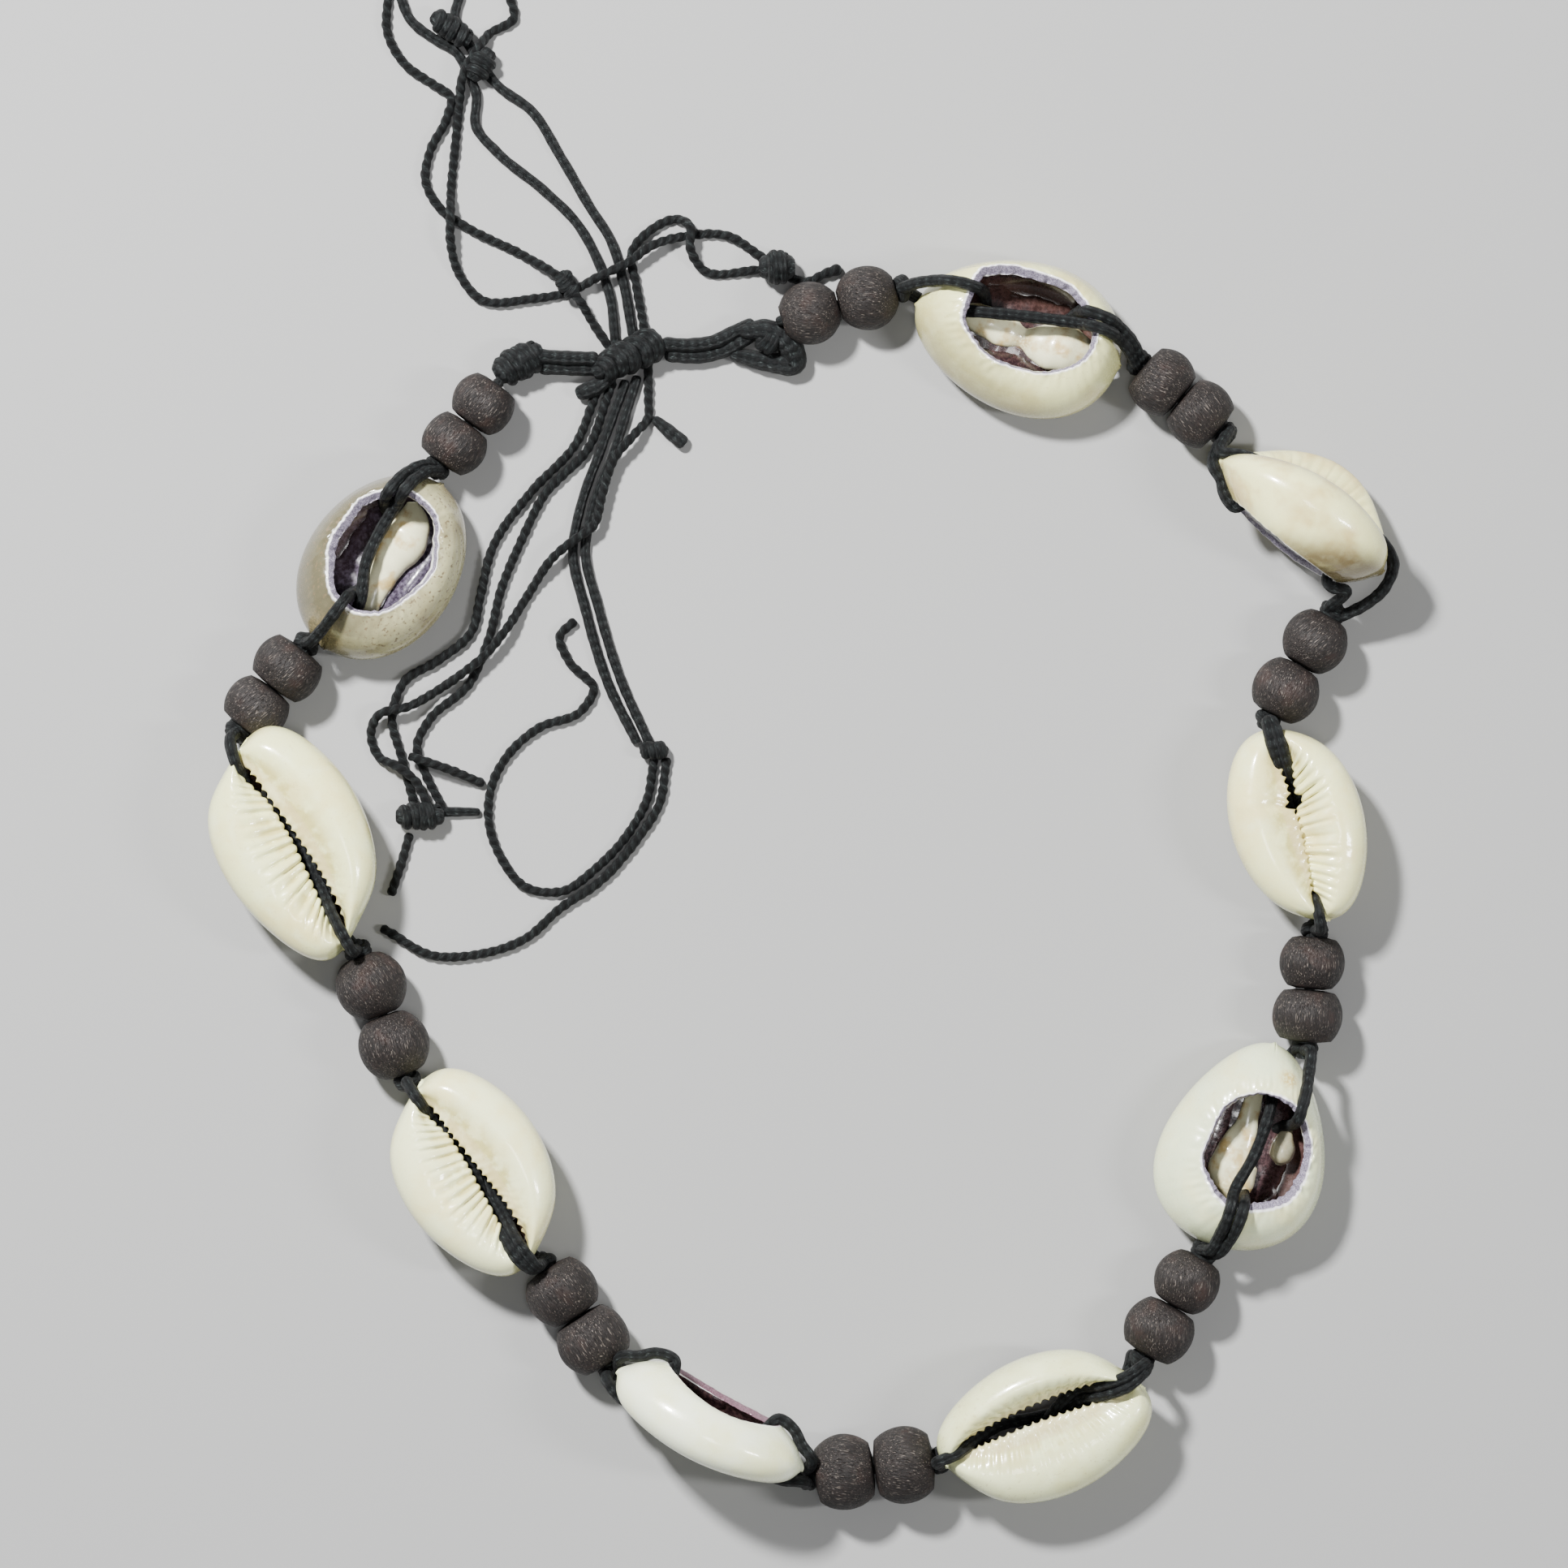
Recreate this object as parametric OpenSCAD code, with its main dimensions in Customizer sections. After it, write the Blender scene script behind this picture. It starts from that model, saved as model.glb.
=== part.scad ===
// Cowrie shell necklace, laid out flat: nine cut cowries with pairs of wooden beads between them on
// a doubled waxed cord, closed by a sliding knot whose loose ties lie inside and above the loop.
// Millimetres. It lies on the plane z = 0, with the origin at the middle of its stones and beads.

/* [Shells] */
// Length of a typical shell
shell_l = 25; // [21:0.5:28]
// Width of a typical shell
shell_w = 17.6; // [15:0.2:20]
// Height of a typical shell, from its base to the cut edge of its back
shell_h = 10; // [8.5:0.25:11.5]
// Thickness of the shell's wall at the cut edge
wall = 1.3; // [0.9:0.1:1.6]
// Thickness of the two lips beside the slit
lip = 2.2; // [1.8:0.1:2.6]
// Width of the slit between the lips
slit_w = 2.6; // [2.3:0.1:3.2]
// Depth of the teeth along both lips
tooth = 0.35; // [0.1:0.05:0.5]
// Height of the notch in which the slit ends at either tip
canal_h = 2; // [1.6:0.1:2.4]
// Length of the hole cut in the back
hole_l = 16; // [13:0.5:18]
// Width of the hole cut in the back
hole_w = 12.4; // [10.5:0.2:13.5]
// How far the cut edge dips midway along the shell
edge_dip = 0.8; // [0:0.1:1.5]
// Height of the rolled inner lip above the lips
roll_h = 2.6; // [1.6:0.1:3.2]

/* [Beads] */
// Diameter of a typical bead
bead_d = 8.2; // [7.4:0.1:9]
// Length of a typical bead along its bore
bead_l = 6.8; // [6:0.1:7.2]
// Diameter of the bore, which takes both strands side by side
bore_d = 2.9; // [2.7:0.1:3.2]
// Space between the two beads of a pair
bead_gap = 0.1; // [0.05:0.05:0.3]

/* [Cord] */
// Diameter of one strand of the waxed cord
cord_d = 1.2; // [1:0.05:1.3]
// Clearance between the cord and what it passes
cord_gap = 0.15; // [0.1:0.05:0.25]
// Diameter of the small knots beside the beads
knot_d = 2.8; // [2.6:0.1:3.2]
// Length of the small knots beside the beads
knot_l = 1.2; // [1:0.1:1.5]

/* [Closure] */
// Diameter of the barrel knot at the left
barrel_d = 4.3; // [3.8:0.1:4.8]
// Length of the barrel knot
barrel_l = 5; // [4:0.25:5.5]
// Diameter of the sliding knot
slide_d = 3.9; // [3.4:0.1:4.4]
// Length of the sliding knot
slide_l = 9; // [8:0.25:10]
// Diameter of the right knot's thick end
lobe_d = 2.8; // [2.4:0.1:3]

/* [Ties] */
// Diameter of the loose ties
tie_d = 1.1; // [0.9:0.05:1.15]
// Height left between two ties where one lies over the other
tie_gap = 0.2; // [0.1:0.05:0.3]
// Diameter of the wrap knot that the upper ties end in
wrap_d = 4.2; // [3.6:0.1:4.6]

/* [Hidden] */

IVORY = [0.93, 0.89, 0.8];
WOOD = [0.3, 0.25, 0.24];
CORD = [0.13, 0.15, 0.16];

// Where the closure's knots lie: [x, y, heading], and ends of the bars that some are made of
BARREL = [-34.3, 61.8, 27];
SLIDE = [-21.5, 62, 23];
NUB = [[-25, 59.1, 1.2], [-26.8, 58.4, 1]];
nub_d = 1.9;
RIGHT = [[-5, 65.7, 3], [-1.6, 61.7, 1.6], [-8.1, 62.7, 1.1]];
tail_d = 1.7;

// Routes of the closure's strands
LEFT_STRANDS = [
    [[-31.5, 62.8, 2.5], [-29, 62.3, 2.4], [-26.6, 61.4, 2.4]],
    [[-30.8, 61.5, 1.6], [-28.5, 61.1, 1.5], [-26.2, 60.2, 1.5]]
];
RIGHT_STRANDS = [
    [[-16.7, 64, 2.4], [-14, 63.9, 2], [-11, 64.4, 1.9], [-8.5, 65.6, 2.1], [-7, 66.2, 2.5]],
    [[-16.3, 62.8, 1.6], [-14, 62.6, 1.3], [-10.6, 63.1, 1.1], [-8.1, 64.3, 1.6], [-6.9, 65, 2]]
];

// Knots in the loose ties
// [x, y, heading, diameter and length as shares of the wrap knot's diameter, wraps]
KNOTS = [
    [-3.7, 73.2, 0, 1, 0.52, 3],
    [-18.3, 15.8, 0, 0.52, 0.86, 4],
    [-46.1, 8, 0, 0.8, 1.2, 4]
];

// Routes of the loose ties, chosen by hand: [x, y, number of ties that it lies on]
OUTER_TIE = [
    [-50, 105.5, 0], [-50, 101, 0], [-48, 97.5, 0], [-44.5, 95, 0], [-42.5, 93.5, 0],
    [-43, 91, 0], [-45, 87, 0], [-45.5, 83.5, 0], [-43.5, 80, 0], [-40.5, 78, 0],
    [-33.5, 74.5, 0], [-29, 71.5, 1], [-27, 69, 1], [-25.5, 66.5, 0], [-24.5, 65, 0]
];
INNER_TIE = [
    [-48.5, 105.5, 0], [-47.5, 103, 0], [-44.5, 100.5, 0], [-42, 99, 0], [-40.5, 96.5, 0],
    [-39.5, 94, 0], [-39.5, 90, 0], [-37, 87, 0], [-31.5, 82.5, 0], [-27.5, 78.5, 0],
    [-25, 74, 0], [-23.5, 69.5, 0], [-23, 65, 0]
];
SLANT_TIE = [
    [-41.5, 105.5, 0], [-42, 103, 0], [-41, 101, 0], [-39, 97.5, 0], [-37, 95, 0],
    [-33, 92, 0], [-29.5, 86.5, 0], [-26, 80.5, 0], [-23.5, 76.5, 0], [-22, 71.5, 0],
    [-21, 66, 0]
];
BRANCH_TIE = [
    [-35.5, 105.5, 0], [-35, 103, 0], [-38, 101, 0], [-39, 99.5, 1], [-41, 96, 1],
    [-41.5, 92.5, 0], [-42, 87.5, 0], [-42.5, 82, 0], [-42, 79.5, 1], [-42.5, 76.5, 1],
    [-41.5, 72.5, 0], [-39, 69.5, 0], [-33, 69.5, 0], [-28, 70.5, 0], [-25, 72, 1],
    [-21, 74, 1], [-19, 75.5, 1], [-14.5, 77, 0], [-9.5, 77, 0], [-5.5, 74.5, 0]
];
LOOP_TIE = [
    [-19.5, 66, 0], [-20.5, 71.5, 0], [-21, 75, 0], [-19, 77.5, 0], [-15.5, 79, 0],
    [-14, 78, 1], [-14, 75.5, 1], [-12.5, 73, 0], [-5.5, 73, 0]
];
BEAD_END = [
    [-2, 72, 0], [-0.5, 71.5, 0], [2, 72.5, 0], [3.5, 73, 0]
];
LEFT_TIE = [
    [-25.5, 57.5, 0], [-27.5, 52.5, 0], [-33, 46.5, 0], [-37.5, 40, 0], [-39, 34, 0],
    [-40, 30, 0], [-44, 26.5, 0], [-48, 24, 0], [-49.5, 19.5, 0], [-48.5, 15.5, 0],
    [-47, 10, 0]
];
SECOND_TIE = [
    [-24, 57.5, 0], [-26, 52, 0], [-31.5, 46, 0], [-34, 41, 0], [-36.5, 35, 0],
    [-38, 29, 0], [-40.5, 23.5, 0], [-45, 19.5, 0], [-46.5, 16.5, 0], [-45.5, 13, 0],
    [-44, 10, 0]
];
LONG_TIE = [
    [-19, 60, 0], [-19, 57.5, 0], [-19, 55.5, 0], [-20.5, 53.5, 1], [-23, 50.5, 1],
    [-24.5, 46, 1], [-25.5, 42.5, 1], [-27.5, 41, 1], [-30, 39, 1], [-33.5, 34, 0],
    [-36, 30, 1], [-38.5, 27, 1], [-41, 25, 1], [-44, 23, 0], [-47.5, 21, 1],
    [-51, 20, 1], [-52, 17.5, 0], [-51, 15, 0], [-49, 14, 1], [-46.5, 12, 1],
    [-45.5, 10, 1]
];
MIDDLE_TIE = [
    [-22.5, 57.5, 0], [-24.5, 52, 0], [-27, 45, 0], [-28, 39.5, 0], [-26.5, 32.5, 0],
    [-23.5, 23, 0], [-21, 18, 0]
];
FOURTH_TIE = [
    [-21, 58, 0], [-23, 51.5, 0], [-25.5, 45, 0], [-26.5, 39.5, 0], [-25, 33, 0],
    [-22, 23.5, 0], [-19.5, 18, 0]
];
SIDE_LOOP = [
    [-28, 31, 0], [-29.5, 29.5, 0], [-28.5, 26.5, 0], [-25.5, 23, 0], [-27, 20.5, 0],
    [-32, 18.5, 0], [-35.5, 15.5, 0], [-37.5, 12, 0], [-38, 7.5, 0], [-36.5, 3, 0],
    [-33.5, -0.5, 0], [-29.5, -1, 0], [-25, 2, 0], [-21, 6.5, 0], [-19, 10.5, 0],
    [-18.5, 13.5, 0]
];
ARC_TIE = [
    [-17, 13.5, 0], [-17.5, 10, 0], [-20.5, 5, 0], [-25, 0, 0], [-29.5, -3, 0],
    [-33.5, -6.5, 0], [-39.5, -8.5, 0], [-45, -8.5, 0], [-49.5, -6, 0]
];
ARC_BRANCH = [
    [-39, 12, 0], [-42.5, 13.5, 1], [-47, 15, 1]
];
KNOT_TAIL = [
    [-43.4, 8.5, 0], [-39.5, 8.5, 0]
];
KNOT_END = [
    [-47.5, 5.5, 0], [-48.5, 2, 0], [-49.5, -1, 0]
];
BLUNT_END = [
    [-18, 55, 0], [-15, 52.5, 0]
];

// How far from a small knot's outer face the strands end in it, as a share of its length
SEAT = 0.7;

// Columns round a shell, sides of a cord and sides of a lobe
COLUMNS = 36;
SIDES = 8;
LOBE_SIDES = 10;

// Where each shell lies: middle of its outline, and the way its front points
// [x, y, heading, roll, length, width, height, egg, side]
// roll 0 has the cut back up, 180 the slit up and 90 lies on its side; length, width and height are
// shares of the typical shell; egg is how much wider the rear is; side is where the inner lip rolls
SHELLS = [
    [24.8, 64.9, -17, 0, 1.00, 1.02, 1.00, -0.16, -1],
    [58.5, 43.9, -35, 90, 0.92, 0.97, 0.94, 0.05, 1],
    [57.8, 7.0, -73, 180, 0.94, 0.89, 0.98, 0.05, -1],
    [51.8, -31.0, -106, 0, 1.00, 1.10, 1.00, -0.2, -1],
    [27.8, -63.8, 202, 160, 1.00, 0.98, 1.00, 0.0, 1],
    [-11.8, -63.6, 152, 90, 0.98, 0.97, 0.85, 0.05, 1],
    [-39.4, -34.1, 121, 180, 0.99, 1.01, 1.00, -0.05, 1],
    [-60.6, 4.7, 116, 180, 1.08, 1.03, 1.00, -0.08, 1],
    [-50.4, 37.6, 54, 0, 0.95, 1.02, 0.98, 0.05, -1]
];

// Where the hole in each shell's back lies, and where the cord crosses the cut edge
// [hole forward, hole to the left, hole length, hole width, cord at the rear, cord at the front, dip]
// forward is a share of the typical shell's length, left and the cord's places of its width, the
// hole's length and width are shares of the typical hole, and the dip of the typical edge's
CUTS = [
    [0.03, 0.10, 1.03, 0.96, 0.2, 0.18, 1],
    [0, 0, 0.95, 0.95, 0, 0, 0.2],
    [0, 0, 0.9, 0.9, 0, 0, 1],
    [0.01, 0.07, 0.9, 1.02, 0.24, -0.01, 1],
    [0, 0, 1, 1, 0, 0, 1],
    [0, 0, 0.95, 0.95, 0, 0, 1.7],
    [0, 0, 1, 1, 0, 0, 1],
    [0, 0, 1, 1, 0, 0, 1],
    [0.06, 0.04, 0.98, 1, 0.05, 0.15, 1]
];

// Where each pair of beads lies: its middle, and the way the cord runs through it
// [x, y, heading, length, first diameter, second diameter], the last three as shares
PAIRS = [
    [3.6, 68.5, 15, 1.02, 0.92, 0.93],
    [44.2, 57.5, -40, 0.85, 0.98, 1.00],
    [58.3, 25.8, -121, 0.98, 0.95, 0.98],
    [59.4, -12.5, -95, 0.91, 0.95, 1.02],
    [43.2, -50.0, -120, 0.96, 0.96, 1.02],
    [7.8, -69.2, 187, 1.03, 1.11, 1.09],
    [-27.3, -51.2, 123, 0.98, 1.05, 1.05],
    [-50.4, -15.6, 111, 1.09, 1.04, 1.02],
    [-63.5, 23.2, 52, 0.85, 0.95, 1.01],
    [-40.2, 54.5, 54, 0.84, 0.95, 0.92]
];

// Rings of a shell's outer face from the cut edge to the slit
// [share of the way from the outline to the hole, from the outline to the slit, height]
OUTER = [
    [1, 0, 1],
    [0.55, 0, 0.88],
    [0.2, 0, 0.67],
    [0, 0, 0.36],
    [0, 0.07, 0.12],
    [0, 0.27, 0.01],
    [0, 0.7, 0.02]
];

// Rings of the plain inner face from the slit back to the cut edge
// [the same three columns, height of the notch that it takes up at the tips]
INNER = [
    [0, 0.75, 0.24, 1],
    [0, 0.35, 0.23, 1.2],
    [0, 0.05, 0.38, 0.65],
    [0.15, 0, 0.66, 0]
];

// The rolled inner lip takes the place of the first three inner rings on its side
// [distance from the slit as a share of the shell's width, height as a share of the roll's]
ROLL = [
    [0.06, 0.6],
    [0.16, 1],
    [0.28, 0.5]
];

// A strand's way over the end wall
// [share of the way from the tip to the cut edge, height as a share of the shell's, extra height in
//  cords, walls past the cut edge]
OVER = [
    [-0.05, 0.74, 0, 0],
    [0.3, 0.78, 0.7, 0],
    [0.62, 0.96, 0.62, 0],
    [1, 1, 0.62, 0],
    [1, 1, 0.62, 1.35]
];
// Where it goes down behind the cut edge, as a share of the shell's height
DIVE = 0.8;
// A strand's way through the notch at the end of the slit
// [x as a share of the shell's length, height as a share of its own, extra height in cords]
THROUGH = [
    [-0.545, 0.3, 0],
    [-0.52, 0.12, 0],
    [-0.44, 0.06, 0.2],
    [-0.34, 0.14, 0.2],
    [-0.2, 0.42, 0.2]
];

// Where each strand leaves the knot beside a shell, in degrees round the cord: 0 right, 90 on top
// [over the rear, through the rear, over the front, through or beside at the front, steps of OVER
//  that its way leaves out at the rear, at the front]
LEAVES = [
    [90, 270, 70, 110, 0, 0],
    [60, 120, 60, 150, 0, 2],
    [270, 90, 270, 90, 1, 1],
    [90, 270, 70, 110, 0, 0],
    [330, 110, 310, 110, 1, 1],
    [60, 120, 60, 120, 0, 0],
    [270, 90, 270, 90, 1, 1],
    [270, 90, 270, 90, 1, 1],
    [90, 270, 70, 110, 0, 0]
];
// The strand from the second shell's slit goes round its tip to reach the knot beside it
// [x, y, z] as shares of that shell's length, width and height
ROUND_TIP = [[0.56, -0.05, 0.55], [0.54, -0.15, 1.05]];

// Where the strands pass along each shell, as shares of its length, width and height
// [points of the strand over the rear, points of the strand over the front]
PASSES = [
    [[[-0.14, 0.2, 0.42], [0.14, 0.26, 0.45]], [[-0.17, 0.05, 0.66], [0, 0.12, 0.76]]],
    [[[0, 0.045, 0.6]], [[0, -0.045, 0.6]]],
    [[[0, 0.045, 0.6]], [[0, -0.045, 0.6]]],
    [[[-0.08, 0.23, 0.42], [0.13, 0.08, 0.42]], [[-0.15, 0.07, 0.66], [0.02, 0.055, 0.76]]],
    [[[0, 0.045, 0.6]], [[0, -0.045, 0.6]]],
    [[[0, 0.045, 0.6]], [[0, -0.045, 0.6]]],
    [[[0, 0.045, 0.6]], [[0, -0.045, 0.6]]],
    [[[0, 0.045, 0.6]], [[0, -0.045, 0.6]]],
    [[[-0.1, 0.08, 0.4], [0.16, 0.23, 0.42]], [[-0.17, -0.03, 0.66], [-0.04, 0.085, 0.75]]]
];

function mix(a, b, t) = a * (1 - t) + b * t;
function unit(v) = v / norm(v);
function sized(k) = [SHELLS[k][4] * shell_l, SHELLS[k][5] * shell_w, SHELLS[k][6] * shell_h];

// Along the slit from 1 at the front to -1 at the rear and back, and which lip it is
function along(t) = t <= 180 ? 1 - t / 90 : t / 90 - 3;
function lip_side(t) = t == 0 || t == 180 ? 0 : (t < 180 ? 1 : -1);

function outline(t, s, egg, inset = 0) = [
    (s[0] / 2 - inset) * cos(t),
    (s[1] / 2 - inset) * sin(t) * (1 - egg * cos(t))
];
function hole(t, cut, side, inset = 0) = [
    cut[0] * shell_l + (cut[2] * hole_l / 2 - inset) * cos(t),
    side * cut[1] * shell_w + (cut[3] * hole_w / 2 - inset) * sin(t)
];
function dip(t, k) = CUTS[k][6] * edge_dip * pow(sin(t), 2);
function slit(t, s) = [
    (s[0] / 2 - 1.25 * wall) * along(t),
    lip_side(t) * slit_w / 2 * pow(1 - pow(abs(along(t)), 6), 0.35)
];
function teeth(i) = i % 2 == 0 ? -tooth / 2 : tooth / 2;
function notch(t) = canal_h * pow(abs(along(t)), 8);

function outer_point(t, s, k, row) =
    let (rim = outline(t, s, SHELLS[k][7]))
    let (flat = mix(mix(rim, hole(t, CUTS[k], SHELLS[k][8]), row[0]), slit(t, s), row[1]))
    [flat[0], flat[1], row[2] * s[2] - dip(t, k) * row[0] + notch(t) * (row[2] < 0.2 ? 1 : 0)];

function inner_point(t, s, k, row) =
    let (rim = outline(t, s, SHELLS[k][7], wall))
    let (flat = mix(mix(rim, hole(t, CUTS[k], SHELLS[k][8], wall), row[0]), slit(t, s), row[1]))
    [flat[0], flat[1], row[2] * s[2] + row[3] * notch(t)];

function roll_point(t, s, row, plain) =
    let (edge = slit(t, s))
    let (swell = pow(max(0, sin(t)), 1.5))
    mix(plain, [edge[0], edge[1] + row[0] * s[1], lip + roll_h * row[1] + notch(t)], swell);

// The teeth fade towards the tips, where the slit ends in its notches
function bite(t, i) = abs(along(t)) > 0.82 ? 0 : lip_side(t) * teeth(i);

function shell_column(i, s, k) =
    let (t = 360 * i / COLUMNS)
    let (edge = slit(t, s))
    let (plain = [for (row = INNER) inner_point(t, s, k, row)])
    concat(
        [for (row = OUTER) outer_point(t, s, k, row)],
        [
            [edge[0], edge[1] + bite(t, i), 0.09 * s[2] + notch(t)],
            [edge[0], edge[1] + bite(t, i), lip + notch(t)]
        ],
        [for (r = [0:len(ROLL) - 1]) roll_point(t, s, ROLL[r], plain[r])],
        [plain[3]],
        [concat(hole(t, CUTS[k], SHELLS[k][8], wall * 0.9), [s[2] - dip(t, k) - wall * 0.1])]
    );

RINGS = len(OUTER) + 2 + len(INNER) + 1;

// A shell in its own frame: base at z = 0, front along +X, and the inner lip's roll at +Y
function shell_points(k) = [
    for (i = [0:COLUMNS - 1])
        for (p = shell_column(i, sized(k), k))
            [p[0], p[1] * SHELLS[k][8], p[2]]
];
function shell_faces(side) = [
    for (i = [0:COLUMNS - 1])
        for (j = [0:RINGS - 1])
            let (a = i * RINGS + j, b = i * RINGS + (j + 1) % RINGS)
            let (c = ((i + 1) % COLUMNS) * RINGS + (j + 1) % RINGS, d = ((i + 1) % COLUMNS) * RINGS + j)
            each side < 0 ? [[a, b, c], [a, c, d]] : [[a, c, b], [a, d, c]]
];

// A point of a shell's frame turned by its roll and heading
function rolled(p, k) =
    let (r = SHELLS[k][3])
    [p[0], p[1] * cos(r) - p[2] * sin(r), p[1] * sin(r) + p[2] * cos(r)];
function turned(p, h) = [p[0] * cos(h) - p[1] * sin(h), p[0] * sin(h) + p[1] * cos(h), p[2]];

// The middle of a shell's frame: it rests on its lowest point, or on the strand under its back
function shell_lift(k) = -min([for (p = shell_points(k)) rolled(p, k)[2]])
    + (abs(SHELLS[k][3] - 180) < 45 ? cord_d + cord_gap : 0);
function shell_middle(k) =
    let (half = rolled([0, 0, sized(k)[2] / 2], k))
    let (shift = turned([0, half[1], 0], SHELLS[k][2]))
    [SHELLS[k][0] - shift[0], SHELLS[k][1] - shift[1], shell_lift(k)];
MIDDLES = [for (k = [0:len(SHELLS) - 1]) shell_middle(k)];
function on_shell(p, k) = MIDDLES[k] + turned(rolled(p, k), SHELLS[k][2]);

// Beads of a pair, its axis height and its two ends
function pair_l(k) = PAIRS[k][3] * bead_l;
function pair_z(k) = max(PAIRS[k][4], PAIRS[k][5]) * bead_d / 2;
function pair_half(k) = pair_l(k) + bead_gap / 2 + cord_gap + knot_l;
function knot_middle(k, way) =
    [PAIRS[k][0], PAIRS[k][1], pair_z(k)]
    + turned([way * (pair_half(k) - knot_l / 2), 0, 0], PAIRS[k][2]);

// A tube with a ring at each point of its route, each ring square to the way the route bisects
function ways(route) = [
    for (i = [0:len(route) - 1])
        unit(route[min(i + 1, len(route) - 1)] - route[max(i - 1, 0)])
];
function square_to(n, way) = unit(n - (n * way) * way);
function normals(way) = [
    for (
        i = 0, n = square_to(abs(way[0][2]) < 0.9 ? [0, 0, 1] : [1, 0, 0], way[0]);
        i < len(way);
        i = i + 1, n = i < len(way) ? square_to(n, way[i]) : n
    ) n
];
module tube(route, d) {
    way = ways(route);
    up = normals(way);
    points = [
        for (i = [0:len(route) - 1])
            let (across = cross(way[i], up[i]))
            for (s = [0:SIDES - 1])
                let (a = 360 * (s + 0.5) / SIDES)
                route[i] + d / 2 * (cos(a) * across + sin(a) * up[i])
    ];
    last = (len(route) - 1) * SIDES;
    sides = [
        for (i = [0:len(route) - 2])
            for (s = [0:SIDES - 1])
                let (a = i * SIDES + s, b = i * SIDES + (s + 1) % SIDES)
                each [[a, b, b + SIDES], [a, b + SIDES, a + SIDES]]
    ];
    caps = [[for (s = [SIDES - 1:-1:0]) s], [for (s = [0:SIDES - 1]) last + s]];
    polyhedron(points, concat(sides, caps));
}

module shell(k) {
    color(IVORY)
        translate(MIDDLES[k])
            rotate([0, 0, SHELLS[k][2]])
                rotate([SHELLS[k][3], 0, 0])
                    polyhedron(shell_points(k), shell_faces(SHELLS[k][8]));
}

// A bead is a ball flattened where it meets its neighbours, with a bore along X
module bead(k, which) {
    d = PAIRS[k][4 + which] * bead_d;
    length = pair_l(k);
    middle = (which == 0 ? -1 : 1) * (length + bead_gap) / 2;
    color(WOOD)
        translate([PAIRS[k][0], PAIRS[k][1], pair_z(k)])
            rotate([0, 0, PAIRS[k][2]])
                translate([middle, 0, 0])
                    rotate([0, 90, 0])
                        difference() {
                            intersection() {
                                sphere(d = d, $fn = 64);
                                cylinder(d = d, h = length, center = true, $fn = 64);
                            }
                            cylinder(d = bore_d, h = length + 2, center = true, $fn = 48);
                        }
}

// A knot of several wraps round the cord, standing on z = 0
module knot(d, length, turns) {
    wrap = length / turns;
    cylinder(d = d - wrap, h = length, $fn = 32);
    for (turn = [0:turns - 1])
        translate([0, 0, wrap * (turn + 0.5)])
            rotate_extrude($fn = 32)
                translate([(d - wrap) / 2, 0])
                    circle(d = wrap, $fn = 24);
}

// A knot lying along its heading, with its middle at a place
module lying_knot(place, heading, d, length, turns) {
    translate(place)
        rotate([0, 0, heading])
            rotate([0, 90, 0])
                translate([0, 0, -length / 2])
                    knot(d, length, turns);
}

// Both strands through a pair of beads; the closure's knots stand in for the first and last small ones
module thread(k) {
    half = pair_half(k);
    bare = half - knot_l - cord_gap / 2;
    seated = half - SEAT * knot_l;
    rear = k == 0 ? bare : seated;
    front = k == len(PAIRS) - 1 ? bare : seated;
    place = [PAIRS[k][0], PAIRS[k][1], pair_z(k)];
    color(CORD) {
        translate(place)
            rotate([0, 0, PAIRS[k][2]])
                for (side = [-1, 1])
                    translate([-rear, 0, side * (cord_d + 0.02) / 2])
                        rotate([0, 90, 0])
                            cylinder(d = cord_d, h = rear + front, $fn = 24);
        if (k > 0)
            lying_knot(knot_middle(k, -1), PAIRS[k][2], knot_d, knot_l, 2);
        if (k < len(PAIRS) - 1)
            lying_knot(knot_middle(k, 1), PAIRS[k][2], knot_d, knot_l, 2);
    }
}

// A strand's start beside its knot, at an angle round the cord, a little towards the shell
function leaves(pair, way, angle) =
    let (off = (knot_d + cord_d) / 2 + 2 * cord_gap)
    knot_middle(pair, way)
    + turned([way * cord_gap, -off * cos(angle), off * sin(angle)], PAIRS[pair][2]);

// Distance of the cut edge from the middle of a shell's hole, at a distance to the left of it
function edge_reach(k, left, inset = 0) =
    let (half = CUTS[k][2] * hole_l / 2 - inset, half_w = CUTS[k][3] * hole_w / 2 - inset)
    half * sqrt(1 - pow(left / half_w, 2));
function over_end(k, front, aside = 0) =
    let (s = sized(k), way = front ? 1 : -1, y = CUTS[k][front ? 5 : 4] * s[1] + aside)
    let (middle = CUTS[k][0] * shell_l, left = abs(y - CUTS[k][1] * shell_w))
    let (edge = middle + way * edge_reach(k, left))
    let (clear = edge_reach(k, left + cord_d / 2, wall) - cord_d / 2 - 3 * cord_gap)
    concat(
        [
            for (i = [LEAVES[k][front ? 5 : 4]:len(OVER) - 1])
                let (row = OVER[i])
                let (x = mix(way * s[0] / 2, edge, row[0]) - way * row[3] * wall)
                on_shell([x, y, row[1] * s[2] + row[2] * cord_d], k)
        ],
        [on_shell([middle + way * clear, y, DIVE * s[2]], k)]
    );
function through_end(k, front) =
    let (s = sized(k), way = front ? 1 : -1)
    [
        for (row = THROUGH)
            if (row[0] > -0.54 || SHELLS[k][3] > 45)
                on_shell([-way * row[0] * s[0], 0, row[1] * s[2] + row[2] * cord_d], k)
    ];
function round_tip(k, front) =
    let (s = sized(k))
    k == 1 && front ? [for (p = ROUND_TIP) on_shell([p[0] * s[0], p[1] * s[1], p[2] * s[2]], k)] : [];
function back_to_front(points) = [for (i = [len(points) - 1:-1:0]) points[i]];
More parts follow.
